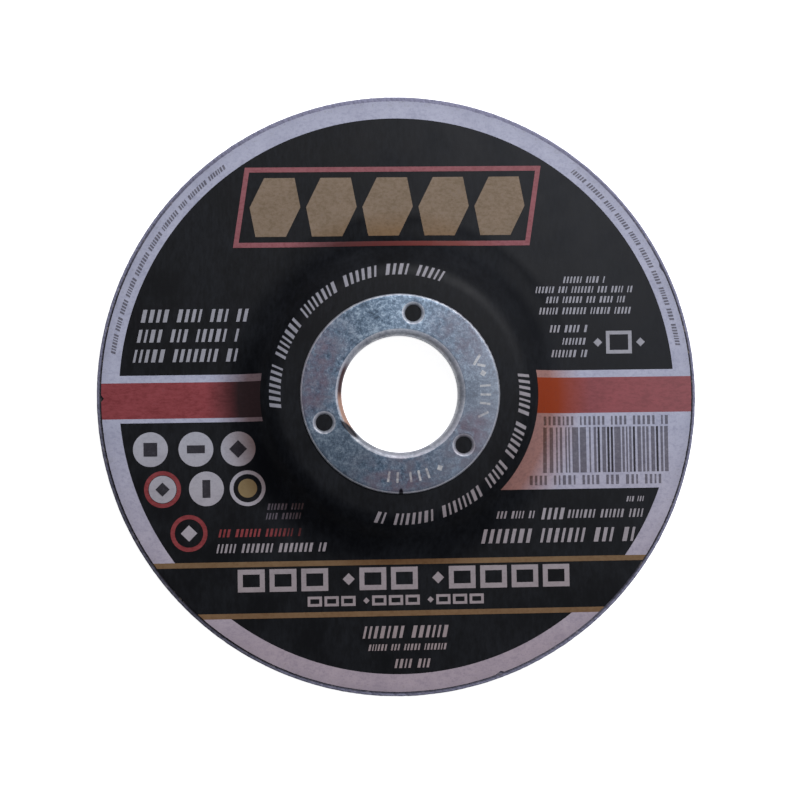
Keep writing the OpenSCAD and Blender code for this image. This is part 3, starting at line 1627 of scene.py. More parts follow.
@dataclass
class Moulding:
    """The pressed abrasive: plate, raised hub with its recess, and the seat of the net."""

    rim_r: float = 0.4
    corner_steps: int = 4
    rim_rings: tuple[float, float] = (0.4, 0.6)
    shoulder_r: float = 55.5
    net_r: float = 56.0
    net_bore_r: float = 14.515
    net_t: float = 0.3
    roughness: float = 0.04
    rough_from_w: float = 0.5
    lumps_per_mm: float = 1.7
    grains_per_mm: float = 4.1
    grain_share: float = 0.7

    def section(self) -> list[tuple[float, float]]:
        """Draws the section: out along the working face, up the rim and back under the label.

        Returns:
            Its points, radius and height, in order.
        """
        form = FORM
        collar_r = form.bore_r + form.sheet_t
        depth = form.plate_z
        points = [(collar_r, form.face_z(0, depth)), (self.net_bore_r, form.face_z(0, depth))]
        points += [
            (r, form.face_z(r, depth - self.net_t))
            for r in form.radii(self.net_bore_r, self.net_r)
        ]
        points.append((self.net_r, 0.0))
        top = form.plate_z - form.label_t
        middle_r = form.disc_r - self.rim_r
        for corner_z, first in ((self.rim_r, -90), (top - self.rim_r, 0)):
            for step in range(self.corner_steps + 1):
                a = math.radians(first + 90 * step / self.corner_steps)
                points.append(
                    (middle_r + self.rim_r * math.cos(a), corner_z + self.rim_r * math.sin(a))
                )
            if first < 0:
                points += [(form.disc_r, top * share) for share in self.rim_rings]
        inner = form.radii(collar_r, middle_r, (self.shoulder_r,))[:-1]
        points += [(r, form.face_z(r, form.label_t)) for r in reversed(inner)]
        return points

    def build(self) -> None:
        """Builds the moulding with its rough rim."""
        bm = spin_section(self.section(), FORM.turns, True)
        for vert in bm.verts:
            r = vert.co.xy.length
            share = min(1.0, max(0.0, (r - FORM.label_r) / self.rough_from_w))
            if share:
                lump = noise.noise(vert.co * self.lumps_per_mm)
                grain = noise.noise(vert.co * self.grains_per_mm)
                back = self.roughness * share * (1.0 + (lump + self.grain_share * grain))
                vert.co.xy *= (r - back) / r
        finish = BondedAbrasive().material()
        place_piece(bm, "abrasive_disc", [finish], ["abrasive_body"])


@dataclass
class GlassNet:
    """The net in the working face: strands that pass over and under each other."""

    net_r: float = 56.0
    net_bore_r: float = 14.515
    depth: float = 0.3
    pitch: float = 8.0
    strand_w: float = 1.2
    cell: float = 1.0
    middle_z: float = 0.075
    weave_h: float = 0.07
    crown_h: float = 0.05

    def strand(
        self, bm: bmesh.types.BMesh, start: float, end: float, side: float, index: int, across: bool
    ) -> None:
        """Adds one strand.

        Args:
            bm: the mesh.
            start: where it starts along its length.
            end: where it ends.
            side: its distance from the axis, sideways.
            index: its number, which settles where it starts to go over.
            across: whether it runs along Y.
        """
        cells = max(2, round((end - start) / self.cell))
        made = bmesh.ops.create_grid(bm, x_segments=cells, y_segments=2, size=0.5)
        verts = made["verts"]
        thick = self.depth / 2
        for vert in verts:
            along = start + (vert.co.x + 0.5) * (end - start)
            off = side + vert.co.y * self.strand_w
            x, y = (off, along) if across else (along, off)
            phase = math.pi * (along / self.pitch + index + (0.5 if across else 1.5))
            weave = math.sin(phase)
            crown = self.crown_h * (1 - abs(vert.co.y) * 2)
            low = FORM.face_z(math.hypot(x, y), FORM.plate_z)
            z = low + self.middle_z + self.weave_h * weave - crown * 0.5
            vert.co = Vector((x, y, z))
        faces = list({face for vert in verts for face in vert.link_faces})
        made = bmesh.ops.extrude_face_region(bm, geom=faces, use_keep_orig=True)
        raised = [v for v in made["geom"] if isinstance(v, bmesh.types.BMVert)]
        bmesh.ops.translate(bm, vec=(0, 0, thick), verts=raised)

    def build(self) -> None:
        """Builds all strands of both directions."""
        bm = bmesh.new()
        side_count = int(self.net_r // self.pitch)
        for across in (False, True):
            for index in range(-side_count, side_count):
                side = (index + 0.5) * self.pitch
                outer = math.sqrt(self.net_r**2 - (abs(side) + self.strand_w / 2) ** 2)
                spans = [(-outer, outer)]
                if abs(side) < self.net_bore_r:
                    near = abs(side) - self.strand_w / 2
                    inner = math.sqrt(self.net_bore_r**2 - near**2)
                    spans = [(-outer, -inner), (inner, outer)]
                for start, end in spans:
                    self.strand(bm, start, end, side, index, across)
        finish = GlassRoving().material()
        place_piece(bm, "woven_glass_net", [finish], ["glass_net"])


@dataclass
class SteelBushing:
    """The pressed ring: flange, rounded lip, collar and three pierced holes with drawn rims.

    Each stamp has its angle and distance from the bore's axis, the width and length of its
    block, and the angle that the block is turned by.
    """

    edge_r: float = 0.35
    anchor_count: int = 3
    anchor_steps: int = 48
    anchor_r: float = 1.55
    anchor_lip_r: float = 0.62
    anchor_reach: float = 1.1
    anchor_circle_r: float = 15.465
    anchor_turn: float = 81.0
    collar_w: float = 0.5
    end_chamfer: float = 0.08
    stamp_t: float = 0.03
    sheared: float = 0.02
    sheared_count: float = 11.0
    torn: float = 0.2
    torn_count: float = 26.0
    torn_at: float = 38.0
    steps: int = 360
    stamps: tuple[tuple[float, float, float, float, float], ...] = (
        (24.0, 15.9, 0.5, 2.3, 35.0),
        (19.5, 16.3, 0.5, 1.6, -30.0),
        (14.0, 16.2, 0.9, 0.9, 45.0),
        (5.5, 16.2, 0.42, 2.0, 0.0),
        (-0.5, 16.2, 0.42, 2.0, 0.0),
        (-6.5, 16.2, 0.42, 2.0, 0.0),
        (-14.0, 16.2, 0.42, 2.2, 40.0),
        (-62.0, 15.9, 0.9, 0.9, 45.0),
        (-71.0, 15.9, 0.42, 2.0, 0.0),
        (-77.0, 15.9, 0.42, 2.0, 0.0),
        (-83.0, 15.9, 0.42, 2.0, 0.0),
        (-92.0, 15.9, 0.42, 2.0, 0.0),
        (-98.0, 15.9, 0.42, 2.0, 0.0),
    )

    def anchors(self) -> list[tuple[float, float]]:
        """Finds the pierced holes.

        Returns:
            Their middles, X and Y.
        """
        r, step = self.anchor_circle_r, 360 / self.anchor_count
        turns = [math.radians(self.anchor_turn + step * i) for i in range(self.anchor_count)]
        return [(r * math.cos(a), r * math.sin(a)) for a in turns]

    def ragged(self, angle: float) -> float:
        """How far the sheared outer edge stands out at an angle, which is less than nought.

        Args:
            angle: the angle in radians.

        Returns:
            The distance in millimetres.
        """
        spot = Vector((math.cos(angle), math.sin(angle), 0.3))
        share = max(0.0, math.cos(angle - math.radians(self.torn_at))) ** 2
        sheared = self.sheared * noise.noise(spot * self.sheared_count)
        torn = self.torn * share * abs(noise.noise(spot * self.torn_count))
        return -self.sheared - sheared - torn

    def build(self) -> None:
        """Builds the ring and the marks struck on it."""
        self.ring()
        self.struck_marks()

    def struck_marks(self) -> None:
        """Raises plain marks that were struck in the flange, in a pale zinc that paints the glints
        on their edges.
        """
        bm = bmesh.new()
        for angle, radius, width, length, turn in self.stamps:
            a = math.radians(angle)
            x, y = radius * math.cos(a), radius * math.sin(a)
            add_block(bm, x, y, length, width, turn=a + math.radians(turn))
        thicken(bm, self.stamp_t)
        bmesh.ops.translate(bm, vec=(0, 0, FORM.flange_z - self.stamp_t / 2), verts=bm.verts)
        place_piece(bm, "struck_marks", [GLINT_ZINC.material()])

    def ring(self) -> None:
        """Builds the ring as one closed shell."""
        form = FORM
        bm = bmesh.new()
        e, top, under = self.edge_r, form.flange_z, form.hub_z
        hole_r, bend_r = self.anchor_r + self.anchor_lip_r, form.bore_r + form.lip_r
        outer = ring_edges(bm, (0, 0), form.flange_r - e - self.collar_w, top, self.steps)
        inner = ring_edges(bm, (0, 0), bend_r + self.collar_w / 2, top, self.steps)
        holes = [
            ring_edges(bm, centre, hole_r + self.collar_w / 2, top, self.anchor_steps)
            for centre in self.anchors()
        ]
        plate = [*outer, *inner, *(edge for hole in holes for edge in hole)]
        bmesh.ops.triangle_fill(bm, use_beauty=True, edges=plate, normal=(0, 0, 1))
        outer = extrude_rings(bm, outer, (0, 0), [(form.flange_r - e, top)], self.ragged, 0)
        inner = extrude_rings(bm, inner, (0, 0), [(bend_r, top)], index=0)
        holes = [
            extrude_rings(bm, hole, centre, [(hole_r, top)], index=0)
            for hole, centre in zip(holes, self.anchors())
        ]
        quarter = [math.radians(a) for a in range(15, 91, 15)]
        rim = [
            (form.flange_r - e + e * math.sin(a), top - e + e * math.cos(a)) for a in quarter
        ]
        low_outer = extrude_rings(
            bm, outer, (0, 0), [*rim, (form.flange_r, under)], self.ragged
        )
        low_inner = extrude_rings(
            bm, inner, (0, 0), self.drawn_lip(form.bore_r, form.lip_r, form.collar_z)
        )
        low_holes = [
            extrude_rings(
                bm,
                hole,
                centre,
                self.drawn_lip(self.anchor_r, self.anchor_lip_r, under - self.anchor_reach),
            )
            for hole, centre in zip(holes, self.anchors())
        ]
        back = [*low_outer, *low_inner, *(edge for hole in low_holes for edge in hole)]
        bmesh.ops.triangle_fill(bm, use_beauty=True, edges=back, normal=(0, 0, -1))
        # The second finish paints light on the rounded edge and the lips.
        finishes = [ZincPlatedSteel().material(), LIT_LIP_ZINC.material()]
        place_piece(bm, "zinc_plated_bushing", finishes, ["steel_bushing"])

    def drawn_lip(self, hole_r: float, bend_r: float, end_z: float) -> list[tuple[float, float]]:
        """Rings of sheet that bends down into a hole, and up again on its hidden side.

        Args:
            hole_r: radius of the hole.
            bend_r: radius of the bend on the side that shows.
            end_z: height where the sheet ends.

        Returns:
            Radius and height of each ring.
        """
        t, top = FORM.sheet_t, FORM.flange_z
        middle_r, middle_z = hole_r + bend_r, top - bend_r
        turns = [math.radians(a) for a in range(105, 181, 15)]
        shown = [
            (middle_r + bend_r * math.cos(a), middle_z + bend_r * math.sin(a)) for a in turns
        ]
        inside = bend_r - t
        hidden = [
            (middle_r + inside * math.cos(a), middle_z + inside * math.sin(a))
            for a in reversed([math.radians(90), *turns])
        ]
        cut = self.end_chamfer
        ends = [(hole_r, end_z + cut), (hole_r + cut, end_z), (hole_r + t, end_z)]
        return [*shown, *ends, *hidden]


@dataclass
class PaperLabel:
    """The black-printed paper that is pressed onto the moulding and follows its hub."""

    hole_r: float = 12.515

    def build(self) -> None:
        """Builds the label with its worn and nicked edge."""
        radii = FORM.radii(self.hole_r, FORM.label_r, (EDGE_RING_R, BORDER_R))
        face = [(r, FORM.face_z(r)) for r in radii]
        back = [(r, FORM.face_z(r, FORM.label_t)) for r in reversed(radii)]
        bm = spin_section([*face, *back], FORM.turns, True)
        wear_edge(bm)
        finish = PrintedPaper().material()
        place_piece(bm, "black_label", [finish], ["paper_label"])


@dataclass
class Print:
    """The inks on the label: fields of colour, and plain blocks in the places of words and marks.

    Attributes:
        dim_rows: X of the left end, Y of the middle, length and height of each darker row.
        grey_rows: the same of each light row.
        code_rows: the same of the rows over and under the bars, with the seed of each.
        red_row: the same of the row beside the lowest ring, with its seed.
        hub_arcs: radius, start and end angle, height and seed of each arc round the hub.
        border_arcs: the same of each arc in the border.
        border_fill: width of a block in the border, as a share of its height.
        block_widths: widths that a block may have, as shares of the usual one.
        row_group: fewest and most blocks in a word of a row.
        row_gaps: gap after a block and further gap after a word, as shares of the height.
        arc_group: fewest and most blocks in a word of an arc.
        arc_gaps: gap after a block and further gap after a word, as shares of the height.
        box_rows: X of the left end, Y of the middle, boxes in each group, width, height and
            line of a box.
        box_gap: gap between boxes, as a share of their line.
        box_word_gap: gap between groups of boxes, as a share of a box's width.
        box_diamond: side of the diamond in that gap, as a share of the line.
        diamonds: X, Y and side of each single diamond.
        bars_x: X where the bars start and end.
        bars_y: Y where they start and end.
        bar_widths: widths that a bar may have.
        bar_gaps: gaps that may follow it.
        bar_seed: settles their order.
        dark_bars: X of the darker bars.
        dark_w: width of a darker bar.
        dark_reach: how far a bar may be from that X to be a darker one.
        signs: X, Y and radius of each light disc, and width, height and turn of its dark block.
        rings: sign piece, X, Y, outer and inner radius of each other disc or ring.
        ring_diamond: X, Y and side of the light diamond in the lowest ring.
        disc_steps: corners round a disc or ring.
        disc_rings: rings of faces in it.
        frame_parts: blocks in each long side of the frame.
        frame_cells: cells along each of its blocks.
        plate_cells: cells along each plate.
        materials: the finish of each ink.
    """

    dim_rows: tuple[tuple[float, float, float, float], ...] = (
        (-25.3, -21.0, 6.4, 1.2),
        (-25.6, -22.8, 6.8, 1.2),
    )
    grey_rows: tuple[tuple[float, float, float, float], ...] = (
        (-48.7, 15.6, 19.6, 2.45),
        (-49.5, 11.8, 19.4, 2.45),
        (-50.3, 8.0, 19.2, 2.45),
        (32.2, 21.75, 8.2, 1.25),
        (26.8, 19.85, 19.0, 1.25),
        (28.8, 17.9, 15.2, 1.25),
        (27.4, 15.75, 18.6, 1.3),
        (29.4, 12.3, 7.0, 1.4),
        (31.8, 9.85, 4.6, 1.3),
        (29.6, 7.5, 7.0, 1.4),
        (43.6, -20.6, 3.2, 1.0),
        (18.4, -23.3, 7.2, 1.4),
        (27.2, -23.2, 3.6, 2.2),
        (32.2, -23.3, 14.2, 1.6),
        (15.6, -27.35, 29.2, 2.7),
        (-35.0, -28.8, 20.4, 1.7),
        (-7.4, -45.2, 16.8, 2.3),
        (-6.5, -48.1, 15.0, 1.2),
        (-1.5, -51.2, 6.2, 1.7),
    )
    code_rows: tuple[tuple[float, float, float, float, int], ...] = (
        (27.6, -5.45, 23.8, 1.7, 81),
        (24.8, -16.8, 26.0, 1.8, 82),
    )
    red_row: tuple[float, float, float, float, int] = (-34.6, -25.9, 15.2, 1.5, 91)
    hub_arcs: tuple[tuple[float, float, float, float, int], ...] = (
        (23.75, 185.5, 68.9, 2.15, 11),
        (23.75, 8.3, -100.5, 2.15, 12),
    )
    border_arcs: tuple[tuple[float, float, float, float, int], ...] = (
        (54.9, 171.0, 126.9, 0.9, 83),
        (54.9, 51.3, 9.6, 0.9, 84),
    )
    border_fill: float = 0.36
    block_widths: tuple[float, ...] = (0.7, 1.0, 1.0, 1.25)
    row_group: tuple[int, int] = (3, 7)
    row_gaps: tuple[float, float] = (0.26, 0.5)
    arc_group: tuple[int, int] = (4, 8)
    arc_gaps: tuple[float, float] = (0.28, 0.6)
    box_rows: tuple[tuple[float, float, tuple[int, ...], float, float, float], ...] = (
        (-31.2, -35.0, (3, 2, 4), 5.12, 4.3, 0.95),
        (-18.0, -39.15, (3, 3, 3), 2.72, 1.9, 0.5),
        (40.2, 9.6, (1,), 5.0, 4.4, 0.7),
    )
    box_gap: float = 0.95
    box_word_gap: float = 0.8
    box_diamond: float = 1.7
    diamonds: tuple[tuple[float, float, float], ...] = ((38.6, 9.6, 1.2), (46.9, 9.6, 1.2))
    bars_x: tuple[float, float] = (27.5, 51.3)
    bars_y: tuple[float, float] = (-15.4, -6.7)
    bar_widths: tuple[float, ...] = (0.3, 0.45, 0.7, 1.2)
    bar_gaps: tuple[float, ...] = (0.3, 0.45, 0.6)
    bar_seed: int = 5
    dark_bars: tuple[float, ...] = (38.2, 40.9, 45.3, 49.7)
    dark_w: float = 0.4
    dark_reach: float = 0.2
    signs: tuple[tuple[float, float, float, float, float, float], ...] = (
        (-47.4, -9.8, 3.3, 2.6, 2.6, 0.0),
        (-38.8, -9.85, 3.3, 3.4, 1.5, 0.0),
        (-30.8, -9.9, 3.3, 2.4, 2.4, 45.0),
        (-36.9, -17.4, 3.3, 1.5, 3.4, 0.0),
        (-45.2, -17.4, 2.6, 1.9, 1.9, 45.0),
    )
    rings: tuple[tuple[str, float, float, float, float], ...] = (
        ("red_signs", -45.2, -17.4, 3.5, 2.7),
        ("light_signs", -29.1, -17.4, 3.4, 2.7),
        ("olive_signs", -29.1, -17.4, 1.8, 0.0),
        ("red_signs", -40.3, -25.8, 3.5, 2.7),
    )
    ring_diamond: tuple[float, float, float] = (-40.3, -25.8, 2.2)
    disc_steps: int = 40
    disc_rings: int = 6
    frame_parts: int = 6
    frame_cells: int = 4
    plate_cells: int = 10
    materials: dict[Ink, bpy.types.Material] = field(
        default_factory=lambda: {ink: finish.material() for ink, finish in INKS.items()}
    )

    def field_of(self, name: str, keep: Keep) -> bmesh.types.BMesh:
        """Cuts a ring of faces at every edge of the print and keeps the inked ones.

        Args:
            name: name of the field.
            keep: whether the point X, Y is inked.

        Returns:
            The flat mesh of the inked faces, not yet draped.
        """
        radii = FORM.radii(PLAN.hub_clear_r, FORM.label_r, (BORDER_R, EDGE_RING_R))
        bm = spin_section([(r, 0.0) for r in radii], FORM.turns, False)
        levels = [
            PLAN.stripes_top,
            PLAN.band_top,
            PLAN.band_foot,
            PLAN.stripes_foot,
            PLAN.code_foot,
            LOWER_LINE_Y,
            LOWER_LINE_Y + PLAN.gold_line_h,
            UPPER_LINE_Y,
            UPPER_LINE_Y + PLAN.gold_line_h,
        ]
        cuts = [((0.0, y, 0.0), (0.0, 1.0, 0.0)) for y in levels]
        for place, across in [*cuts, ((0.0, 0.0, 0.0), (1.0, 0.0, 0.0))]:
            bmesh.ops.bisect_plane(
                bm,
                geom=[*bm.verts, *bm.edges, *bm.faces],
                dist=CUT_GAP,
                plane_co=place,
                plane_no=across,
            )
        bare = [f for f in bm.faces if not keep(*f.calc_center_median().xy)]
        bmesh.ops.delete(bm, geom=bare, context="FACES")
        LOG.info("%s field: %d faces", name, len(bm.faces))
        return bm

    def press(
        self,
        bm: bmesh.types.BMesh,
        name: str,
        inks: Iterable[Ink],
        nodes: Iterable[str] = (),
        lift: float = 0.0,
    ) -> None:
        """Turns flat print with the label, wears its edge, drapes it and makes it a solid piece.

        Args:
            bm: the flat print.
            name: the piece's name.
            inks: the ink of each material index.
            nodes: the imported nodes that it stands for.
            lift: how far it lies over the paper, on other ink.
        """
        turn_print(bm)
        wear_edge(bm)
        drape(bm, lift)
        thicken(bm, PLAN.ink_t)
        place_piece(bm, name, [self.materials[ink] for ink in inks], nodes)

    def silver(self) -> None:
        """Border, lines beside the band and the code panel."""

        def keep(x: float, y: float) -> bool:
            """Whether the point is silver."""
            if PLAN.band_foot < y < PLAN.band_top:
                return False
            if PLAN.stripes_foot < y < PLAN.stripes_top:
                return True
            if x > 0 and PLAN.code_foot < y < 0:
                return True
            gap = LOWER_LINE_Y < y < UPPER_LINE_Y + PLAN.gold_line_h
            return math.hypot(x, y) > BORDER_R and not gap

        bm = self.field_of("silver", keep)
        self.press(bm, "silver_fields", [Ink.SILVER], ["print_silver"])

    def lean(self, verts: set[bmesh.types.BMVert]) -> None:
        """Leans the frame, or the plates in it, to the right.

        Args:
            verts: their corners.
        """
        for vert in verts:
            vert.co.x += PLAN.frame_lean * (vert.co.y - FRAME_Y)

    def red(self) -> None:
        """Band across the label and the frame above the hub."""
        bm = self.field_of("red", lambda x, y: PLAN.band_foot < y < PLAN.band_top)
        band, band_verts = set(bm.faces), set(bm.verts)
        count, line = self.frame_parts, PLAN.frame_line
        long, upright = PLAN.frame_w / count, PLAN.frame_h - 2 * line
        for side in (-1, 1):
            y = FRAME_Y + side * (PLAN.frame_h - line) / 2
            for i in range(count):
                x = PLAN.frame_x + long * (i + 0.5) - PLAN.frame_w / 2
                add_block(bm, x, y, long, line, cells=self.frame_cells)
        for side in (-1, 1):
            x = PLAN.frame_x + side * (PLAN.frame_w - line) / 2
            add_block(bm, x, FRAME_Y, line, upright, cells=self.frame_cells)
        for face in set(bm.faces) - band:
            face.material_index = 1
        self.lean(set(bm.verts) - band_verts)
        self.press(bm, "red_fields", [Ink.RED, Ink.ROSE], ["print_red"])

    def gold(self) -> None:
        """The two lines below the hub, and the row of six-sided plates in the frame."""

        def keep(x: float, y: float) -> bool:
            """Whether the point is on one of the two lines."""
            return any(0 < y - low < PLAN.gold_line_h for low in (LOWER_LINE_Y, UPPER_LINE_Y))

        bm = self.field_of("gold", keep)
        lines = set(bm.verts)
        for face in bm.faces:
            face.material_index = 1
        inside = PLAN.frame_w - 2 * PLAN.frame_line - PLAN.plate_gap
        width = inside / PLAN.plate_count - PLAN.plate_gap
        height = PLAN.frame_h - 2 * PLAN.frame_line - 2 * PLAN.plate_gap
        for i in range(PLAN.plate_count):
            x = PLAN.frame_x + (i - (PLAN.plate_count - 1) / 2) * inside / PLAN.plate_count
            before = set(bm.verts)
            add_block(bm, x, FRAME_Y, width, height, cells=self.plate_cells)
            for vert in set(bm.verts) - before:
                # The upper and lower ends draw in, which leaves a point at each side.
                up = abs(vert.co.y - FRAME_Y) / (height / 2)
                vert.co.x = x + (vert.co.x - x) * (1.0 - PLAN.plate_draw * up)
        self.lean(set(bm.verts) - lines)
        self.press(bm, "gold_fields", [Ink.GOLD, Ink.OCHRE], ["print_gold"])

    def row(
        self,
        bm: bmesh.types.BMesh,
        x: float,
        y: float,
        length: float,
        height: float,
        seed: int,
        slant: float = 0.22,
        fill: float = 0.26,
    ) -> None:
        """Fills the place of a line of words with groups of plain upright blocks.

        Args:
            bm: the mesh.
            x: left end of the line.
            y: middle of the line.
            length: its length.
            height: height of the blocks.
            seed: settles the groups.
            slant: how far the blocks lean.
            fill: width of a block as a share of its height.
        """
        dice = random.Random(seed)
        gap, word_gap = (height * share for share in self.row_gaps)
        at = x
        left = dice.randint(*self.row_group)
        while at < x + length:
            width = height * fill * dice.choice(self.block_widths)
            add_block(bm, at + width / 2, y, width, height, slant=slant)
            at += width + gap
            left -= 1
            if left == 0:
                left = dice.randint(*self.row_group)
                at += word_gap

    def arc(
        self,
        bm: bmesh.types.BMesh,
        radius: float,
        start: float,
        end: float,
        height: float,
        seed: int,
        slant: float = 0.22,
        fill: float = 0.26,
    ) -> None:
        """Fills the place of words that run clockwise round the hub or the border.

        Args:
            bm: the mesh.
            radius: middle of the words' height.
            start: angle that they start at, in degrees.
            end: angle that they end at, less than start.
            height: height of the blocks.
            seed: settles the groups.
            slant: how far the blocks lean.
            fill: width of a block as a share of its height.
        """
        dice = random.Random(seed)
        gap, word_gap = (math.degrees(height * share / radius) for share in self.arc_gaps)
        at = start
        left = dice.randint(*self.arc_group)
        while at > end:
            width = height * fill * dice.choice(self.block_widths)
            half = math.degrees(width / 2 / radius)
            a = math.radians(at - half)
            add_block(
                bm,
                radius * math.cos(a),
                radius * math.sin(a),
                width,
                height,
                turn=a - math.pi / 2,
                slant=slant,
                cells=2,
            )
            at -= 2 * half + gap
            left -= 1
            if left == 0:
                left = dice.randint(*self.arc_group)
                at -= word_gap

    def boxes(
        self,
        bm: bmesh.types.BMesh,
        x: float,
        y: float,
        groups: tuple[int, ...],
        width: float,
        height: float,
        line: float,
    ) -> None:
        """Fills the place of a line of figures with groups of open boxes, and diamonds between.

        Args:
            bm: the mesh.
            x: left end of the line.
            y: middle of the line.
            groups: number of boxes in each group.
            width: width of a box.
            height: height of a box.
            line: thickness of its sides.
        """
        diamond, gap = line * self.box_diamond, line * self.box_gap
        word_gap = width * self.box_word_gap
        at = x
        for index, count in enumerate(groups):
            if index:
                add_block(bm, at + word_gap / 2, y, diamond, diamond, turn=math.pi / 4)
                at += word_gap
            for _ in range(count):
                for side in (-1, 1):
                    middle = at + width / 2
                    add_block(bm, middle + side * (width - line) / 2, y, line, height)
                    add_block(bm, middle, y + side * (height - line) / 2, width - 2 * line, line)
                at += width + gap
            at += line

    def grey_marks(self) -> None:
        """Light grey blocks in the places of the small print on the black."""
        bm = bmesh.new()
        for seed, (x, y, length, height) in enumerate(self.dim_rows):
            self.row(bm, x, y, length, height, seed)
        for face in bm.faces:
            face.material_index = 1
        for radius, start, end, height, seed in self.hub_arcs:
            self.arc(bm, radius, start, end, height, seed)
        for seed, (x, y, length, height) in enumerate(self.grey_rows, 21):
            self.row(bm, x, y, length, height, seed)
        for x, y, groups, width, height, line in self.box_rows:
            self.boxes(bm, x, y, groups, width, height, line)
        for x, y, side in self.diamonds:
            add_block(bm, x, y, side, side, turn=math.pi / 4)
        self.press(bm, "grey_marks", [Ink.GREY, Ink.FAINT])

    def black_marks(self) -> None:
        """Upright bars on the code panel, some of them darker, and two rows of blocks."""
        bm = bmesh.new()
        for x, y, length, height, seed in self.code_rows:
            self.row(bm, x, y, length, height, seed, slant=0.0)
        dice = random.Random(self.bar_seed)
        at, last = self.bars_x
        low, high = self.bars_y
        while at < last:
            width = dice.choice(self.bar_widths)
            middle, reach = at + width / 2, width / 2 + self.dark_reach
            dark = any(abs(middle - x) < reach for x in self.dark_bars)
            if dark:
                width = self.dark_w
            before = set(bm.faces)
            add_block(bm, at + width / 2, (low + high) / 2, width, high - low, cells=2)
            if dark:
                for face in set(bm.faces) - before:
                    face.material_index = 1
            at += width + dice.choice(self.bar_gaps)
        self.press(bm, "black_marks", [Ink.FAINT, Ink.BLACK], lift=PLAN.ink_t)

    def faint_marks(self) -> None:
        """Faint blocks round the border."""
        bm = bmesh.new()
        for radius, start, end, height, seed in self.border_arcs:
            self.arc(bm, radius, start, end, height, seed, fill=self.border_fill)
        self.press(bm, "faint_marks", [Ink.FAINT], lift=PLAN.ink_t)

    def disc_mark(
        self, bm: bmesh.types.BMesh, x: float, y: float, outer: float, inner: float
    ) -> None:
        """Adds a flat disc, or a ring if inner is more than nought.

        Args:
            bm: the mesh.
            x: its middle.
            y: its middle.
            outer: its outer radius.
            inner: its inner radius.
        """
        rim = ring_edges(bm, (x, y), outer, 0.0, self.disc_steps)
        steps = self.disc_rings
        rings = [(outer + (inner - outer) * i / steps, 0.0) for i in range(1, steps + 1)]
        if inner <= 0.0:
            rings = rings[:-1]
        last = extrude_rings(bm, rim, (x, y), rings, index=0)
        if inner <= 0.0:
            bmesh.ops.triangle_fill(bm, use_beauty=True, edges=last, normal=(0, 0, 1))

    def sign_discs(self) -> None:
        """Plain discs and rings in the places of the round signs."""
        pieces = {
            "light_signs": (bmesh.new(), Ink.WHITE, "silver_ink", 0.0),
            "red_signs": (bmesh.new(), Ink.RED, "red_ink", 0.0),
            "olive_signs": (bmesh.new(), Ink.OLIVE, "gold_ink", 0.0),
            "dark_signs": (bmesh.new(), Ink.BLACK, "silver_ink", PLAN.ink_t),
        }
        light, red, dark = (pieces[name][0] for name in ("light_signs", "red_signs", "dark_signs"))
        for x, y, radius, shape_w, shape_h, turn in self.signs:
            self.disc_mark(light, x, y, radius, 0.0)
            add_block(dark, x, y, shape_w, shape_h, turn=math.radians(turn))
        for name, x, y, outer, inner in self.rings:
            self.disc_mark(pieces[name][0], x, y, outer, inner)
        x, y, side = self.ring_diamond
        add_block(light, x, y, side, side, turn=math.radians(45))
        x, y, length, height, seed = self.red_row
        self.row(red, x, y, length, height, seed)
        for name, (bm, ink, slot, lift) in pieces.items():
            self.press(bm, name, [ink], lift=lift)

    def build(self) -> None:
        """Builds all inks."""
        self.silver()
        self.red()
        self.gold()
        self.grey_marks()
        self.black_marks()
        self.faint_marks()
        self.sign_discs()


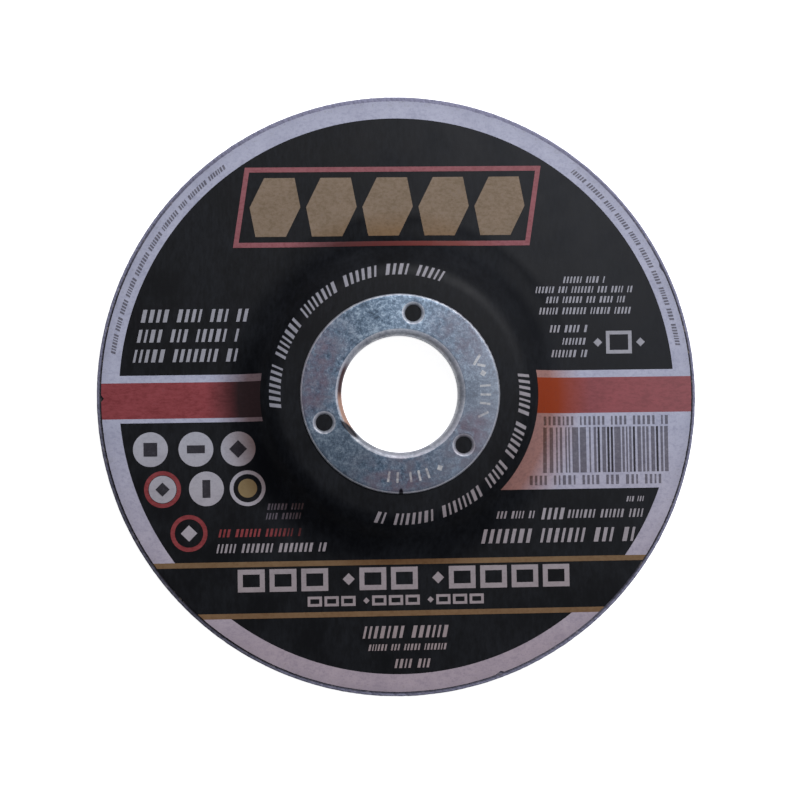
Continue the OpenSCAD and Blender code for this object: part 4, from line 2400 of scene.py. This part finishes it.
@dataclass
class Studio:
    """The floor, the lamp, the sky and the camera, in metres and degrees.

    Attributes:
        tilt: how far the camera leans from straight above.
        tilt_to: the way that it leans.
        sky_way: the way to the bright side of the sky.
        sky_low: strength of its dark side.
        sky_high: strength of its bright side.
        sky_spread: share of that way at which the dark side ends and the full light starts.
        overhead: strength straight above, as a share of the sky's.
        overhead_spread: heights between which it falls to that.
    """

    lens: float = 100.0
    distance: float = 0.4255
    tilt: float = 4.6
    tilt_to: float = 215.0
    aim: tuple[float, float, float] = (0.25 * MM, -0.99 * MM, 3.0 * MM)
    clip: tuple[float, float] = (0.01, 20.0)
    floor_half_w: float = 2.5
    floor_z: float = -0.00002
    key_place: tuple[float, float, float] = (0.13, 0.24, 0.42)
    key_size: float = 0.26
    key_power: float = 2.3
    key_colour: str = "#fbfbff"
    sky_colour: str = "#eef1ff"
    sky_way: tuple[float, float, float] = (0.62, 0.72, 0.3)
    sky_low: float = 0.10
    sky_high: float = 0.42
    sky_spread: tuple[float, float] = (-0.35, 0.75)
    overhead: float = 0.5
    overhead_spread: tuple[float, float] = (0.9, 0.99)

    def floor(self) -> None:
        """Lays the white floor just under the disc."""
        bm = bmesh.new()
        bmesh.ops.create_grid(
            bm,
            x_segments=1,
            y_segments=1,
            size=self.floor_half_w,
            matrix=Matrix.Translation((0, 0, self.floor_z)),
        )
        mesh = bpy.data.meshes.new("studio_floor")
        bm.to_mesh(mesh)
        bm.free()
        mesh.materials.append(StudioPaper().material())
        floor = bpy.data.objects.new("studio_floor", mesh)
        bpy.context.scene.collection.objects.link(floor)

    def lamp(self) -> None:
        """Hangs the square key lamp, which faces the disc."""
        light = bpy.data.lights.new("key_lamp", "AREA")
        light.shape = "SQUARE"
        light.size = self.key_size
        light.energy = self.key_power
        light.color = srgb(self.key_colour)[:3]
        lamp = bpy.data.objects.new("key_lamp", light)
        lamp.location = self.key_place
        lamp.rotation_mode = "QUATERNION"
        lamp.rotation_quaternion = (-Vector(self.key_place)).to_track_quat("-Z", "Y")
        bpy.context.scene.collection.objects.link(lamp)

    def sky(self) -> None:
        """Lights the disc from a sky that is bright towards the upper right and dark overhead."""
        world = bpy.data.worlds.new("studio_sky")
        bpy.context.scene.world = world
        world.use_nodes = True
        tree = world.node_tree
        tree.nodes.clear()
        way = add_node(tree, "ShaderNodeTexCoord").outputs["Generated"]
        towards = add_node(
            tree,
            "ShaderNodeVectorMath",
            {"operation": "DOT_PRODUCT", 1: Vector(self.sky_way).normalized()},
            {0: way},
        )
        side = add_node(
            tree,
            "ShaderNodeMapRange",
            {
                "interpolation_type": "SMOOTHSTEP",
                "From Min": self.sky_spread[0],
                "From Max": self.sky_spread[1],
                "To Min": self.sky_low,
                "To Max": self.sky_high,
            },
            {"Value": towards.outputs["Value"]},
        )
        height = add_node(tree, "ShaderNodeSeparateXYZ", links={"Vector": way})
        overhead = add_node(
            tree,
            "ShaderNodeMapRange",
            {
                "interpolation_type": "SMOOTHSTEP",
                "From Min": self.overhead_spread[0],
                "From Max": self.overhead_spread[1],
                "To Min": 1.0,
                "To Max": self.overhead,
            },
            {"Value": height.outputs["Z"]},
        )
        level = add_node(
            tree,
            "ShaderNodeMath",
            {"operation": "MULTIPLY"},
            {0: side.outputs["Result"], 1: overhead.outputs["Result"]},
        )
        glow = add_node(
            tree,
            "ShaderNodeBackground",
            {"Color": srgb(self.sky_colour)},
            {"Strength": level.outputs["Value"]},
        )
        white = add_node(tree, "ShaderNodeBackground", {"Color": grey(1.0), "Strength": 1.0})
        rays = add_node(tree, "ShaderNodeLightPath")
        seen = add_node(
            tree,
            "ShaderNodeMixShader",
            links={
                "Fac": rays.outputs["Is Camera Ray"],
                1: glow.outputs["Background"],
                2: white.outputs["Background"],
            },
        )
        add_node(tree, "ShaderNodeOutputWorld", links={"Surface": seen.outputs["Shader"]})

    def camera(self) -> None:
        """Stands the camera over the disc, leaning a little to the lower left."""
        data = bpy.data.cameras.new("camera")
        data.lens = self.lens
        data.clip_start, data.clip_end = self.clip
        camera = bpy.data.objects.new("camera", data)
        tilt, turn = math.radians(self.tilt), math.radians(self.tilt_to)
        back = Vector(
            (
                math.sin(tilt) * math.cos(turn),
                math.sin(tilt) * math.sin(turn),
                math.cos(tilt),
            )
        )
        right = Vector((0, 1, 0)).cross(back).normalized()
        up = back.cross(right)
        camera.matrix_world = Matrix.Translation(Vector(self.aim) + back * self.distance) @ Matrix(
            (right, up, back)
        ).transposed().to_4x4()
        bpy.context.scene.collection.objects.link(camera)
        bpy.context.scene.camera = camera

    def build(self) -> None:
        """Sets up the studio."""
        self.floor()
        self.lamp()
        self.sky()
        self.camera()
        bpy.context.scene.view_settings.view_transform = "Standard"


def main() -> None:
    """Builds the studio and every piece of the disc."""
    logging.basicConfig(level=logging.INFO, format="%(message)s")
    Studio().build()
    for part in (Moulding(), GlassNet(), SteelBushing(), PaperLabel(), Print()):
        LOG.info("building %s", type(part).__name__)
        part.build()


if __name__ == "__main__":
    main()
